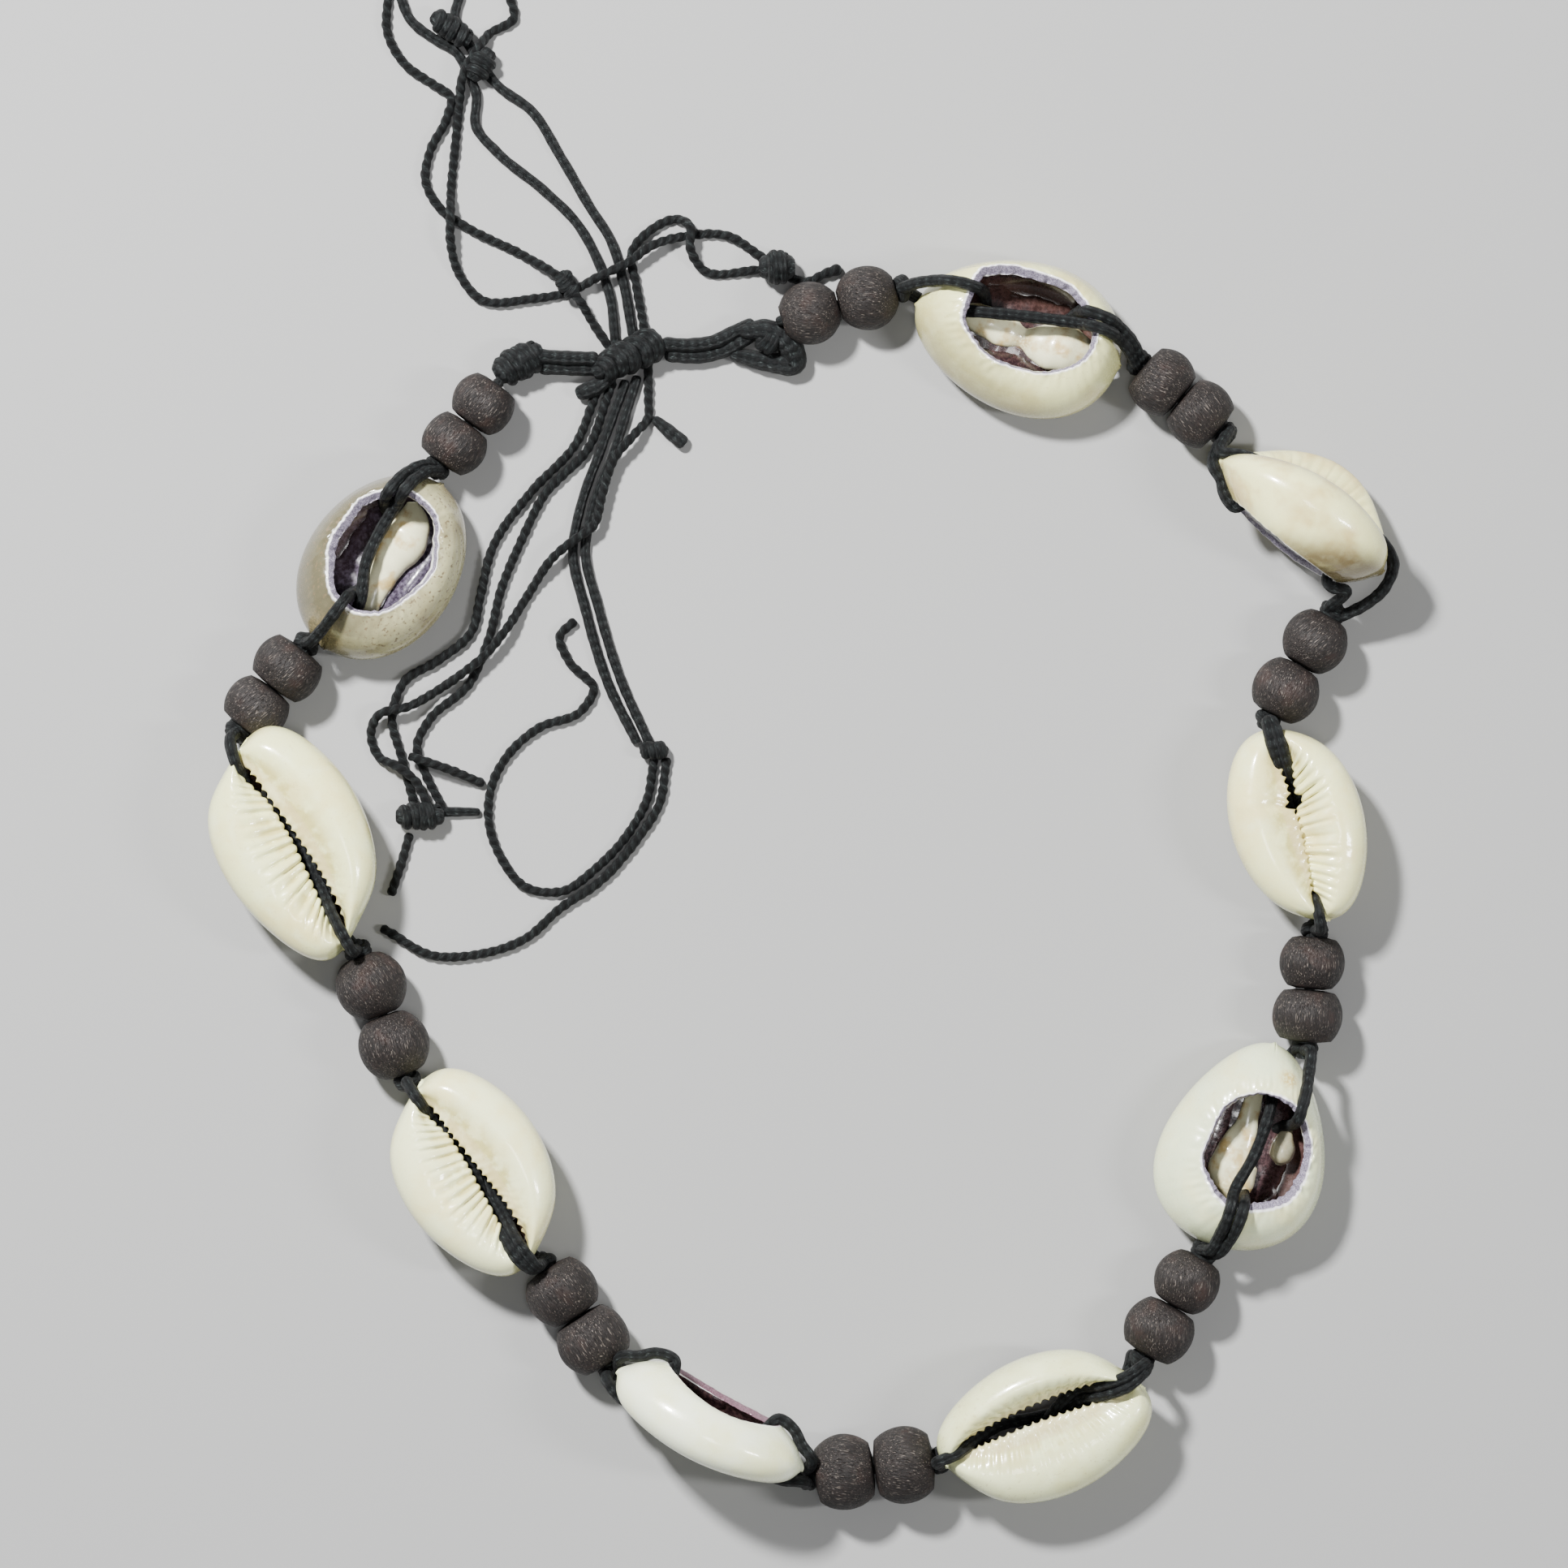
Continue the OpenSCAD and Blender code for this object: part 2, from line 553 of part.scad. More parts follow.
function passing(k, over_front) =
    let (s = sized(k))
    [for (p = PASSES[k][over_front ? 1 : 0]) on_shell([p[0] * s[0], p[1] * s[1], p[2] * s[2]], k)];

// Each strand goes over the end wall at one end of the shell and through the slit at the other; on
// a shell with its hole on top both go over the front, side by side
module shell_cord(k) {
    side_by_side = SHELLS[k][3] == 0;
    over_first = concat(
        [leaves(k, 1, LEAVES[k][0])],
        over_end(k, false),
        passing(k, false),
        back_to_front(
            side_by_side ? over_end(k, true, cord_d + 2 * cord_gap) : through_end(k, true)
        ),
        round_tip(k, true),
        [leaves(k + 1, -1, LEAVES[k][3])]
    );
    through_first = concat(
        [leaves(k, 1, LEAVES[k][1])],
        through_end(k, false),
        passing(k, true),
        back_to_front(over_end(k, true)),
        [leaves(k + 1, -1, LEAVES[k][2])]
    );
    color(CORD) {
        tube(over_first, cord_d);
        tube(through_first, cord_d);
    }
}

module barrel_knot() {
    color(CORD)
        lying_knot([BARREL[0], BARREL[1], barrel_d / 2], BARREL[2], barrel_d, barrel_l, 4);
}

// The sliding knot, with the cord's cut end standing out at its lower left
module sliding_knot() {
    color(CORD) {
        lying_knot([SLIDE[0], SLIDE[1], slide_d / 2], SLIDE[2], slide_d, slide_l, 6);
        lobe(NUB[0], NUB[1], nub_d, nub_d);
    }
}

// A round bar from one place to another, with a ball at either end
module lobe(from, to, d_from, d_to) {
    hull() {
        translate(from)
            sphere(d = d_from, $fn = LOBE_SIDES);
        translate(to)
            sphere(d = d_to, $fn = LOBE_SIDES);
    }
}
module right_knot() {
    color(CORD) {
        lobe(RIGHT[0], RIGHT[1], lobe_d, lobe_d);
        lobe(RIGHT[1], RIGHT[2], mix(lobe_d, tail_d, 0.5), tail_d);
    }
}
module closure_cord(strands) {
    color(CORD)
        for (route = strands)
            tube(route, cord_d);
}

// A loose tie along its route of [x, y, number of ties that it lies on]
module tie(route) {
    tube([for (p = route) [p[0], p[1], tie_d / 2 + p[2] * (tie_d + tie_gap)]], tie_d);
}
module ties(routes) {
    color(CORD)
        for (route = routes)
            tie(route);
}

// The knots in the loose ties, with the short ends that leave them
module tie_knots() {
    color(CORD)
        for (k = KNOTS)
            lying_knot([k[0], k[1], k[3] * wrap_d / 2], k[2], k[3] * wrap_d, k[4] * wrap_d, k[5]);
    ties([KNOT_TAIL, KNOT_END, BLUNT_END]);
}

shell(0);  // shell_1
shell(1);  // shell_2
shell(2);  // shell_3
shell(3);  // shell_4
shell(4);  // shell_5
shell(5);  // shell_6
shell(6);  // shell_7
shell(7);  // shell_8
shell(8);  // shell_9
for (k = [0:9])
    for (which = [0, 1])
        bead(k, which);
for (k = [0:9])
    thread(k);
for (k = [0:8])
    shell_cord(k);
barrel_knot();
sliding_knot();
right_knot();
closure_cord(LEFT_STRANDS);  // closure_cord_left
closure_cord(RIGHT_STRANDS);  // closure_cord_right
ties([OUTER_TIE]);  // tie_outer
ties([INNER_TIE, SLANT_TIE]);  // tie_inner
ties([BRANCH_TIE, LOOP_TIE, BEAD_END]);  // tie_right
ties([LEFT_TIE, SECOND_TIE]);  // tie_left_pair
ties([LONG_TIE, MIDDLE_TIE, FOURTH_TIE]);  // tie_middle
ties([SIDE_LOOP, ARC_TIE, ARC_BRANCH]);  // tie_arc
tie_knots();
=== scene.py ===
"""Cowrie shell necklace: the looks of its shells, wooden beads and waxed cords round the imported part.

The tables are in millimetres, in the part's own frame, and MM turns them into the scene's metres.
"""

import math

import bpy
import numpy as np
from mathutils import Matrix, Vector


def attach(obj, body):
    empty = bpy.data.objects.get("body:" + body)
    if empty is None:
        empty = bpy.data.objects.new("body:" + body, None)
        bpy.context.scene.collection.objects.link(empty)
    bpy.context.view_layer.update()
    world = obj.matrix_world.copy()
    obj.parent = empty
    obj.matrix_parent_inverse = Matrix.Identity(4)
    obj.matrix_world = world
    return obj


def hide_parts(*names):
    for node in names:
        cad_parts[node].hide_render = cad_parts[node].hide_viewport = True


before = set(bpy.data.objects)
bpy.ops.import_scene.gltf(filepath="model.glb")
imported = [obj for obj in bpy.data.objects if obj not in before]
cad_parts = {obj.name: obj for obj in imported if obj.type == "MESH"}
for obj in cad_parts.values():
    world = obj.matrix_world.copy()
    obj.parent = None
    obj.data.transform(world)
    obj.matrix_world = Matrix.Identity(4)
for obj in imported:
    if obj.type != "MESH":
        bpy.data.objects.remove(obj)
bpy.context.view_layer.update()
MM = 0.001
TAU = 2 * math.pi

# The photograph looks straight down on the necklace: the middle and the width of what it shows
VIEW_MIDDLE = (-2.86, 11.81)
VIEW_WIDTH = 185.5
CAMERA_HEIGHT = 800
BEAD_LEVEL = 5
SENSOR = 36

# Sizes that repeat the part's source
SHELL_L, SHELL_W, SHELL_H = 25, 17.6, 10
WALL, LIP, SLIT_W, TOOTH, CANAL_H = 1.3, 2.2, 2.6, 0.35, 2
HOLE_L, HOLE_W, EDGE_DIP, ROLL_H = 16, 12.4, 0.8, 2.6
BEAD_D, BEAD_L, BORE_D, BEAD_GAP = 8.2, 6.8, 2.9, 0.1
CORD_D, CORD_GAP, KNOT_D, KNOT_L = 1.2, 0.15, 2.8, 1.2
BARREL_D, BARREL_L, SLIDE_D, SLIDE_L, LOBE_D = 4.3, 5, 3.9, 9, 2.8
TIE_D, TIE_GAP = 1.1, 0.2

# Finer than the source: columns and rows of a shell, rings and sides of a cord
COLUMNS = 320
TEETH = 21
TUBE_SIDES, RING_STEP = 16, 0.24
WRAP_SIDES, WRAP_STEP, WRAP_POINTS = 12, 0.2, 26
CURVE_STEPS = 24
WHORL_SIDES, WHORL_STEP = 40, 0.25
BEAD_SIDES, BEAD_ROWS = 80, 40
# How far apart the pieces' patterns are taken from the noise
APART = 40
# Rings beyond each end of a cord, which round it off: [width as a share, place in diameters]
TIP = [[0.98, 0.12], [0.85, 0.3], [0.55, 0.42]]
# The strands swell a little more than the source's bare tubes do, and those of the closure more yet
STRAND_D, CLOSURE_D, TIE_SWELL = 1.42, 1.67, 1.04

# Where each shell lies: [x, y, heading, roll, length, width, height, egg, side]; the rolls of those
# that lie with the hole up and on their side
HEADING, ROLLED, EGG, SIDE = 2, 3, 7, 8
HOLE_UP, ON_SIDE = 0, 90
SHELLS = [
    [24.8, 64.9, -17, 0, 1.00, 1.02, 1.00, -0.16, -1],
    [58.5, 43.9, -35, 90, 0.92, 0.97, 0.94, 0.05, 1],
    [57.8, 7.0, -73, 180, 0.94, 0.89, 0.98, 0.05, -1],
    [51.8, -31.0, -106, 0, 1.00, 1.10, 1.00, -0.2, -1],
    [27.8, -63.8, 202, 168, 1.00, 0.98, 1.00, 0.0, 1],
    [-11.8, -63.6, 152, 90, 0.98, 0.97, 0.85, 0.05, 1],
    [-39.4, -34.1, 121, 180, 0.99, 1.01, 1.00, -0.05, 1],
    [-60.6, 4.7, 116, 180, 1.08, 1.03, 1.00, -0.08, 1],
    [-50.4, 37.6, 54, 0, 0.95, 1.02, 0.98, 0.05, -1],
]
# [hole forward, hole to the left, hole length, hole width, cord at the rear, cord at the front, dip]
PLAIN_CUT = [0, 0, 1, 1, 0, 0, 1]
CUTS = [
    [0.03, 0.10, 1.03, 0.96, 0.2, 0.18, 1],
    [0, 0, 0.95, 0.95, 0, 0, 0.2],
    [0, 0, 0.9, 0.9, 0, 0, 1],
    [0.01, 0.07, 0.9, 1.02, 0.24, -0.01, 1],
    PLAIN_CUT,
    [0, 0, 0.95, 0.95, 0, 0, 1.7],
    PLAIN_CUT,
    PLAIN_CUT,
    [0.06, 0.04, 0.98, 1, 0.05, 0.15, 1],
]
# Where each pair of beads lies: [x, y, heading, length, first diameter, second diameter]
PAIRS = [
    [3.6, 68.5, 15, 1.02, 0.92, 0.93],
    [44.2, 57.5, -40, 0.85, 0.98, 1.00],
    [58.3, 25.8, -121, 0.98, 0.95, 0.98],
    [59.4, -12.5, -95, 0.91, 0.95, 1.02],
    [43.2, -50.0, -120, 0.96, 0.96, 1.02],
    [7.8, -69.2, 187, 1.03, 1.11, 1.09],
    [-27.3, -51.2, 123, 0.98, 1.05, 1.05],
    [-50.4, -15.6, 111, 1.09, 1.04, 1.02],
    [-63.5, 23.2, 52, 0.85, 0.95, 1.01],
    [-40.2, 54.5, 54, 0.84, 0.95, 0.92],
]

# Rows of a shell's outer face: [share of the way to the hole, to the slit, height as a share]
OUTER = [
    [0.92, 0, 0.985],
    [0.55, 0, 0.88],
    [0.2, 0, 0.67],
    [0, 0, 0.36],
    [0, 0.07, 0.175],
    [0, 0.2, 0.07],
    [0, 0.4, 0.004],
    [0, 0.62, 0.016],
    [0, 0.82, 0.075],
]
# Rows of its inner face from the slit to the cut edge: the same, and the notch that it takes up
INNER = [
    [0, 0.75, 0.24, 1],
    [0, 0.35, 0.23, 1.2],
    [0, 0.05, 0.38, 0.65],
    [0.15, 0, 0.66, 0],
    [0.8, 0, 0.9, 0],
]
# The rolled inner lip: [distance from the slit as a share of the width, height as a share]
ROLL = [[0.06, 0.6], [0.16, 1], [0.28, 0.5]]
# Strips between the rows above, from the cut edge round to itself again
STRIPS = [3, 7, 6, 6, 5, 4, 4, 4, 4, 3, 3, 3, 3, 3, 3, 4, 3, 3, 3]

# What sets each shell's lips apart: [slit's width from the rear to the front at five places, how far
# it lies to the rolled side in mm at the rear, midway, at the front, ridges on the rolled side, on
# the other, how far the rolled side's lobe stands ahead in mm]
LIPS = [
    [1, 1, 1, 1, 1, 0, 0, 0, 0.6, 0.6, 0],
    [1, 0.7, 0.6, 0.7, 1, 0, 0, 0, 0.3, 0.3, 0],
    [0.75, 0.45, 0.12, 0.06, 0.35, 0.7, 0.25, -0.8, 1.5, 0.1, 1.5],
    [1, 1, 1, 1, 1, 0, 0, 0, 0.5, 0.5, 0],
    [0.9, 0.95, 0.85, 0.75, 0.6, 1.4, 2.5, 1.6, 0.55, 0.45, 3],
    [1, 0.7, 0.6, 0.7, 1, 0, 0, 0, 0.5, 0.5, 0],
    [0.9, 0.75, 0.44, 0.3, 0.6, 0.4, 0.3, -1.1, 0.1, 1.2, 3],
    [0.85, 0.65, 0.4, 0.3, 0.65, 0.5, 0.35, -2.0, 0.1, 1.2, 4.5],
    [1, 1, 1, 1, 1, 0, 0, 0, 0.5, 0.5, 0],
]
# Where a lip is broken out: [place along the slit from -1 to 1, half length as a share, depth in mm]
NICKS = {2: [-0.27, 0.07, 0.9]}
# How blunt the rear of a hole is, as the power of its round; how ragged its edge is
BLUNT = {0: 0.78}
RAGGED = {1: 0.3, 5: 0.15}
# A shell that tapers more at its rear than the source's
TAPER = {3: -0.28}
# The slit's teeth: where they end and fade, as shares of half its length, and how far they bite, as
# shares of TOOTH, on a plain lip and on one with strong ridges
TEETH_END, TEETH_FADE, SHARP, BLUNTED = 0.93, 0.1, 1.1, -0.75
# Ridges: which are strong and which at least middling, their height, how far they go under the
# other lip where the slit is narrower than a share of its width, how deep the grooves beside them are
STRONG, MIDDLING, RIDGE_H, UNDER, NARROW, DEEP, SHALLOW = 0.9, 0.4, 0.52, 1.7, 0.5, 0.9, 0.5
# Where the stain and the ridges begin, as a share of the way to the slit, and how soon they are full
STAINED, RIDGED = (0.3, 0.52), (0.5, 0.22)
# The cut face: mean width as a share of the wall, mean drop in mm, and how far both change round it
CUT_W, CUT_DROP, CUT_CHANGE = 0.45, 0.5, 0.35
# Uneven edges: [height, seed, slowest wave, fastest wave]
RAGS = {
    "chips": [0.2, 10, 2, 9],
    "fine chips": [0.05, 30, 10, 60],
    "teeth": [0.012, 20, 3, 12],
    "nick": [0.3, 108, 20, 60],
    "ridges": [0.4, 50, 4, 40],
    "edge": [0.12, 70, 5, 60],
    "cut face": [0.05, 90, 4, 50],
}
# Where the cut face round a hole is widest, in degrees as the photograph shows it
CUT_FACE = {0: 85, 3: -55, 8: 140}


def shade_plate(y):
    """A dark sheet of painted shade as the floor of a chamber, hiding the pale ground seen through the
    slit, with its middle at y.
    """
    stations = [[-9.8, 0, 1], [-7, -0.4, 4.4], [0, y, 5.6], [7, -0.4, 4.4], [9.5, 0, 0.8]]
    return [0.25, 0, [[x, y, 2.3, half] for x, y, half in stations]]


# What shows through a hole, and the dark sheets of painted shade below it: how flat each is, how white,
# and its stations, [x, y, z, half width] in mm
WHORLS = {
    0: [
        [0.62, 1, [[-7.5, 1.4, 3.6, 0.5], [-6, 0.9, 3.6, 1.5], [-3.6, 0.5, 3.9, 2], [-1.2, 0.2, 3.7, 1.9],
                   [0.7, 0, 3.2, 1.35], [2.4, -0.1, 3.7, 2.1], [4.8, 0, 4.1, 2.9], [7, 0.4, 4.1, 2.6],
                   [9, 1, 4, 1]]],
        shade_plate(-0.6),
    ],
    3: [
        [0.62, 1, [[-7, -0.6, 4, 0.8], [-4.5, -0.6, 4.2, 1.15], [-2, -0.6, 4.1, 1.45], [0, -0.8, 4, 2.1],
                   [2.9, -0.8, 4, 2.85], [5, 0.1, 4, 2.3], [7, 0.6, 3.9, 0.9]]],
        [0.9, 0.5, [[-3.2, 4.4, 3.6, 0.5], [-2.2, 4.3, 3.8, 1], [-0.6, 4.4, 3.8, 1.5], [0.4, 4.4, 3.6, 1.3],
                    [1.1, 4.4, 3.4, 0.4]]],
        shade_plate(-0.4),
    ],
    8: [
        [0.62, 1, [[8.2, 1.6, 4.2, 0.6], [6.6, 0.5, 4.4, 2], [4.6, -0.2, 4.5, 2.8], [2, -0.3, 4.4, 2.5],
                   [-0.6, -0.6, 4.2, 1.9], [-3, -1.1, 4.1, 1.4], [-6, -2, 4, 1.1]]],
        shade_plate(-0.6),
    ],
}

# How a shell's sides and base bow: [height at the rear, midway, at the front, as shares; how far the
# base draws in at the tips; how far its far lobe stands out, its near lobe draws back, in mm; dip
# of the near wall, of the far wall]
BOWED = {
    1: [0.5, 1.08, 0.86, 2.2, 3.6, 1.3, 1, 1],
    2: [1, 1, 1, 1.2, 0, 0, 1, 1],
    4: [1, 1, 1, 1.0, 0, 0, 1, 1],
    5: [0.82, 1.0, 0.95, 2.0, 0, 0, 1.25, 0.5],
    6: [1, 1, 1, 1.2, 0, 0, 1, 1],
    7: [1, 1, 1, 1.2, 0, 0, 1, 1],
}

# Shells whose strand lies doubled at the rear of the slit, and how far beside it in mm
DOUBLED = {2: 1.15, 4: 1.3, 6: -1.3}

# A strand's way over the end wall, from its tip: [share of the way to the hole's edge, height as a
# share of the shell's, cords above that, walls past the edge]
OVER = [
    [-0.05, 0.74, 0, 0],
    [0.3, 0.78, 0.7, 0],
    [0.62, 0.96, 0.62, 0],
    [1, 1, 0.62, 0],
    [1, 1, 0.56, 0.3],
]
# A strand's way through the notch: [length and height as shares of the shell's, cords above that]
THROUGH = [
    [-0.52, 0.12, 0],
    [-0.44, 0.06, 0.2],
    [-0.34, 0.14, 0.2],
    [-0.2, 0.42, 0.2],
]
# Where the strands leave the knots, in degrees round them: [the one over the rear, the one over the
# front at the rear, the one over the front at the front, the one over the rear there], and how many
# rows of OVER each leaves out, at the rear and at the front
PLAIN_UP, PLAIN_DOWN = [90, 270, 70, 110, 0, 0], [270, 90, 270, 90, 1, 1]
LEAVES = [
    PLAIN_UP,
    [60, 120, 60, 150, 0, 2],
    PLAIN_DOWN,
    PLAIN_UP,
    [330, 110, 310, 110, 1, 1],
    [60, 120, 60, 120, 0, 0],
    PLAIN_DOWN,
    PLAIN_DOWN,
    PLAIN_UP,
]
# How far a strand has turned from its knot to its place on the shell: over the end wall, through the
# notch of a shell with the hole up, of one with the slit up
ASIDE_OVER, ASIDE_UP, ASIDE_DOWN = (0.5, 0.2, 0.05, 0, 0), (0.85, 0.6, 0.25, 0), (0.35, 0.08, 0, 0)
# Down from the edge: [from where the strand is clear of it in mm, height as a share], and for a strand
# that stays up
DOWN, STAYS_UP = [[0, 0.84], [-0.5, 0.5]], [[-0.3, 0.9]]
# Shells whose slit is nearly shut at the front, and how much deeper the strand goes there, as shares
SHUT, DEEPER = (2, 4, 6, 7), (0, 0.03, 0.2, 0.15)
# Shell 2's strand goes round its tip, as shares of its size
ROUND_TIP = [[0.56, -0.05, 0.55], [0.54, -0.15, 1.05]]
# Where the strands pass along each shell: [points of the one over the rear, of the one over the front]
MIDWAY = [[[0, 0.045, 0.6]], [[0, -0.045, 0.6]]]
PASSES = {
    0: [[[-0.12, 0.05, 0.16], [0.13, 0.08, 0.16]], [[-0.25, 0.05, 0.7], [0, 0.12, 0.76]]],
    3: [[[-0.04, 0.05, 0.16], [0.11, 0.03, 0.16]], [[-0.22, 0.07, 0.7], [0.02, 0.055, 0.76]]],
    8: [[[-0.1, 0.02, 0.16], [0.14, 0.05, 0.16]], [[-0.21, -0.03, 0.7], [-0.04, 0.085, 0.75]]],
}

# The closure's knots: their middle and heading
BARREL = [[-34.3, 61.8, BARREL_D / 2], 27]
SLIDE = [[-21.4, 62.6, SLIDE_D / 2], 26]
RIGHT_WRAPS = [[-4.7, 64.6, 2.5], -35]
# The sliding knot's cut end, the right knot's bend
NUB = [[-23.4, 60.2, 1.5], [-25, 59.1, 1.2], [-26.8, 58.4, 1]]
NUB_D = 1.9
RIGHT_BEND = [
    [-7, 65.6, 2.8], [-5, 65.7, 3], [-2.4, 64.2, 2.6],
    [-1.6, 61.9, 1.7], [-4.4, 61.9, 1.3], [-8.1, 62.7, 1.1],
]
LEFT_STRANDS = [
    [[-31.8, 62.6, 2.5], [-29, 62.4, 2.4], [-25.6, 62.3, 2.4]],
    [[-31.3, 61.3, 1.6], [-28.5, 61.2, 1.5], [-25.4, 61.1, 1.5]],
]
RIGHT_STRANDS = [
    [[-16.7, 64, 2.4], [-14, 63.9, 2], [-11, 64.4, 1.9], [-8.5, 65.6, 2.1], [-7, 66.2, 2.5]],
    [[-16.3, 62.8, 1.6], [-14, 62.6, 1.3], [-10.6, 63.1, 1.1], [-8.1, 64.3, 1.6], [-6.9, 65, 2]],
]

# Routes of the loose ties, as in the part's source: [x, y] and, where it lies on others, their number
OUTER_TIE = [
    [-24.5, 65], [-25.5, 66.5], [-27, 69, 1], [-29, 71.5, 1], [-33.5, 74.5],
    [-40.5, 78], [-43.5, 80], [-45.5, 83.5], [-45, 87], [-43, 91],
    [-42.5, 93.5], [-44.5, 95], [-48, 97.5], [-50, 101], [-50, 105.5],
]
INNER_TIE = [
    [-23, 65], [-23.5, 69.5], [-25, 74], [-27.5, 78.5], [-31.5, 82.5],
    [-37, 87], [-39.5, 90], [-39.5, 94], [-40.5, 96.5], [-42, 99],
    [-44.5, 100.5], [-47.5, 103], [-48.5, 105.5],
]
SLANT_TIE = [
    [-21, 66], [-22, 71.5], [-23.5, 76.5], [-26, 80.5], [-29.5, 86.5],
    [-33, 92], [-37, 95], [-39, 97.5], [-41, 101], [-42, 103],
    [-41.5, 105.5],
]
BRANCH_TIE = [
    [-5.5, 74.5], [-9.5, 77], [-14.5, 77], [-19, 75.5, 1], [-21, 74, 1],
    [-25, 72, 1], [-28, 70.5], [-33, 69.5], [-39, 69.5], [-41.5, 72.5],
    [-42.5, 76.5, 1], [-42.5, 79.5, 1], [-42.5, 82], [-42, 87.5], [-41.5, 92.5],
    [-41, 96, 1], [-39, 99.5, 1], [-38, 101], [-35, 103], [-35.5, 105.5],
]
LOOP_TIE = [
    [-19.5, 66], [-20.5, 71.5], [-21, 75], [-19, 77.5], [-15.5, 79],
    [-14, 78, 1], [-14, 75.5, 1], [-12.5, 73], [-5.5, 73],
]
BEAD_END = [[-2, 72], [-0.5, 71.5], [2, 72.5], [3.5, 73]]
LEFT_TIE = [
    [-25.5, 57.5], [-27.5, 52.5], [-33, 46.5], [-37.5, 40], [-39, 34],
    [-40, 30], [-44, 26.5], [-48, 24], [-49.5, 19.5], [-48.5, 15.5],
    [-47, 10],
]
SECOND_TIE = [
    [-24, 57.5], [-26, 52], [-31.5, 46], [-34, 41], [-36.5, 35],
    [-38, 29], [-40.5, 23.5], [-45, 19.5], [-46.5, 16.5], [-45.5, 13],
    [-44, 10],
]
LONG_TIE = [
    [-19, 60], [-19, 57.5], [-19, 55.5], [-20.5, 53.5, 1], [-23, 50.5, 1],
    [-24.5, 46, 1], [-25.5, 42.5, 1], [-27.5, 41, 1], [-30, 39, 1], [-33.5, 34],
    [-36, 30, 1], [-38.5, 27, 1], [-41, 25, 1], [-44, 23], [-47.5, 21, 1],
    [-51, 20, 1], [-52, 17.5], [-51, 15], [-49, 14, 1], [-46.5, 12, 1],
    [-45.5, 10, 1],
]
MIDDLE_TIE = [
    [-22.5, 57.5], [-24.5, 52], [-27, 45], [-28, 39.5], [-26.5, 32.5],
    [-23.5, 23], [-21, 18],
]
FOURTH_TIE = [
    [-21, 58], [-23, 51.5], [-25.5, 45], [-26.5, 39.5], [-25, 33],
    [-22, 23.5], [-19.5, 18],
]
SIDE_LOOP = [
    [-28, 31], [-29.5, 29.5], [-28.5, 26.5], [-25.5, 23], [-27, 20.5],
    [-32, 18.5], [-35.5, 15.5], [-37.5, 12], [-38, 7.5], [-36.5, 3],
    [-33.5, -0.5], [-29.5, -1], [-25, 2], [-21, 6.5], [-19, 10.5],
    [-18.5, 13.5],
]
ARC_TIE = [
    [-17, 13.5], [-17.5, 10], [-20.5, 5], [-25, 0], [-29.5, -3],
    [-33.5, -6.5], [-39.5, -8.5], [-45, -8.5], [-49.5, -6],
]
ARC_BRANCH = [[-39, 12], [-42.5, 13.5, 1], [-47, 15, 1]]
KNOT_TAIL = [[-43.4, 8.5], [-39.5, 8.5]]
KNOT_END = [[-47.5, 5.5], [-48.5, 2], [-49.5, -1]]
BLUNT_END = [[-18, 55], [-15, 52.5]]


def make_camera():
    data = bpy.data.cameras.new("camera")
    data.sensor_width = SENSOR
    data.lens = SENSOR * CAMERA_HEIGHT / VIEW_WIDTH
    camera = bpy.data.objects.new("camera", data)
    camera.location = (VIEW_MIDDLE[0] * MM, VIEW_MIDDLE[1] * MM, (BEAD_LEVEL + CAMERA_HEIGHT) * MM)
    bpy.context.collection.objects.link(camera)
    bpy.context.scene.camera = camera


# Shapes: points in millimetres, faces, and values kept with each point

def shape(points, faces, **values):
    return {"points": np.asarray(points, float), "faces": list(faces), "values": values}


def joined(shapes):
    """Several shapes as one, with the values that they share."""
    points, faces, start = [], [], 0
    for one in shapes:
        points.append(one["points"])
        faces += [[start + corner for corner in face] for face in one["faces"]]
        start += len(one["points"])
    values = {
        key: np.concatenate([one["values"][key] for one in shapes]) for key in shapes[0]["values"]
    }
    return shape(np.concatenate(points), faces, **values)


def grid_faces(rows, columns, close_rows):
    """Squares of a grid whose columns close on themselves, and its rows too if wanted."""
    last = rows if close_rows else rows - 1
    r, c = np.meshgrid(np.arange(last), np.arange(columns), indexing="ij")
    below, beside = (r + 1) % rows, (c + 1) % columns
    corners = [r * columns + c, r * columns + beside, below * columns + beside, below * columns + c]
    return np.stack(corners, -1).reshape(-1, 4).tolist()


def tube_faces(rows, columns):
    """Squares of a tube, and a face over each of its ends."""
    ends = [list(range(columns)), [(rows - 1) * columns + i for i in reversed(range(columns))]]
    return grid_faces(rows, columns, False) + ends


def make_piece(name, made, material, node):
    mesh = bpy.data.meshes.new(name)
    mesh.from_pydata((made["points"] * MM).tolist(), [], made["faces"])
    for key, numbers in made["values"].items():
        flat = numbers.ndim == 1
        layer = mesh.attributes.new(key, "FLOAT" if flat else "FLOAT_VECTOR", "POINT")
        layer.data.foreach_set("value" if flat else "vector", numbers.astype(np.float32).ravel())
    mesh.shade_smooth()
    mesh.materials.append(material)
    piece = bpy.data.objects.new(name, mesh)
    bpy.context.collection.objects.link(piece)
    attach(piece, "root")
    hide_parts(node)
    return piece


# Curves and tubes

def turned(p, degrees, i=0, j=1):
    """Points turned from axis i towards axis j."""
    angle = math.radians(degrees)
    p = np.array(p, float)
    a, b, c, s = p[..., i], p[..., j], math.cos(angle), math.sin(angle)
    p[..., i], p[..., j] = a * c - b * s, a * s + b * c
    return p


def cubic(u, a, b, leaving, arriving):
    """From a to b, leaving and arriving with the given steps, at a share u of the way."""
    return ((2 * u**3 - 3 * u**2 + 1) * a + (u**3 - 2 * u**2 + u) * leaving
            + (3 * u**2 - 2 * u**3) * b + (u**3 - u**2) * arriving)


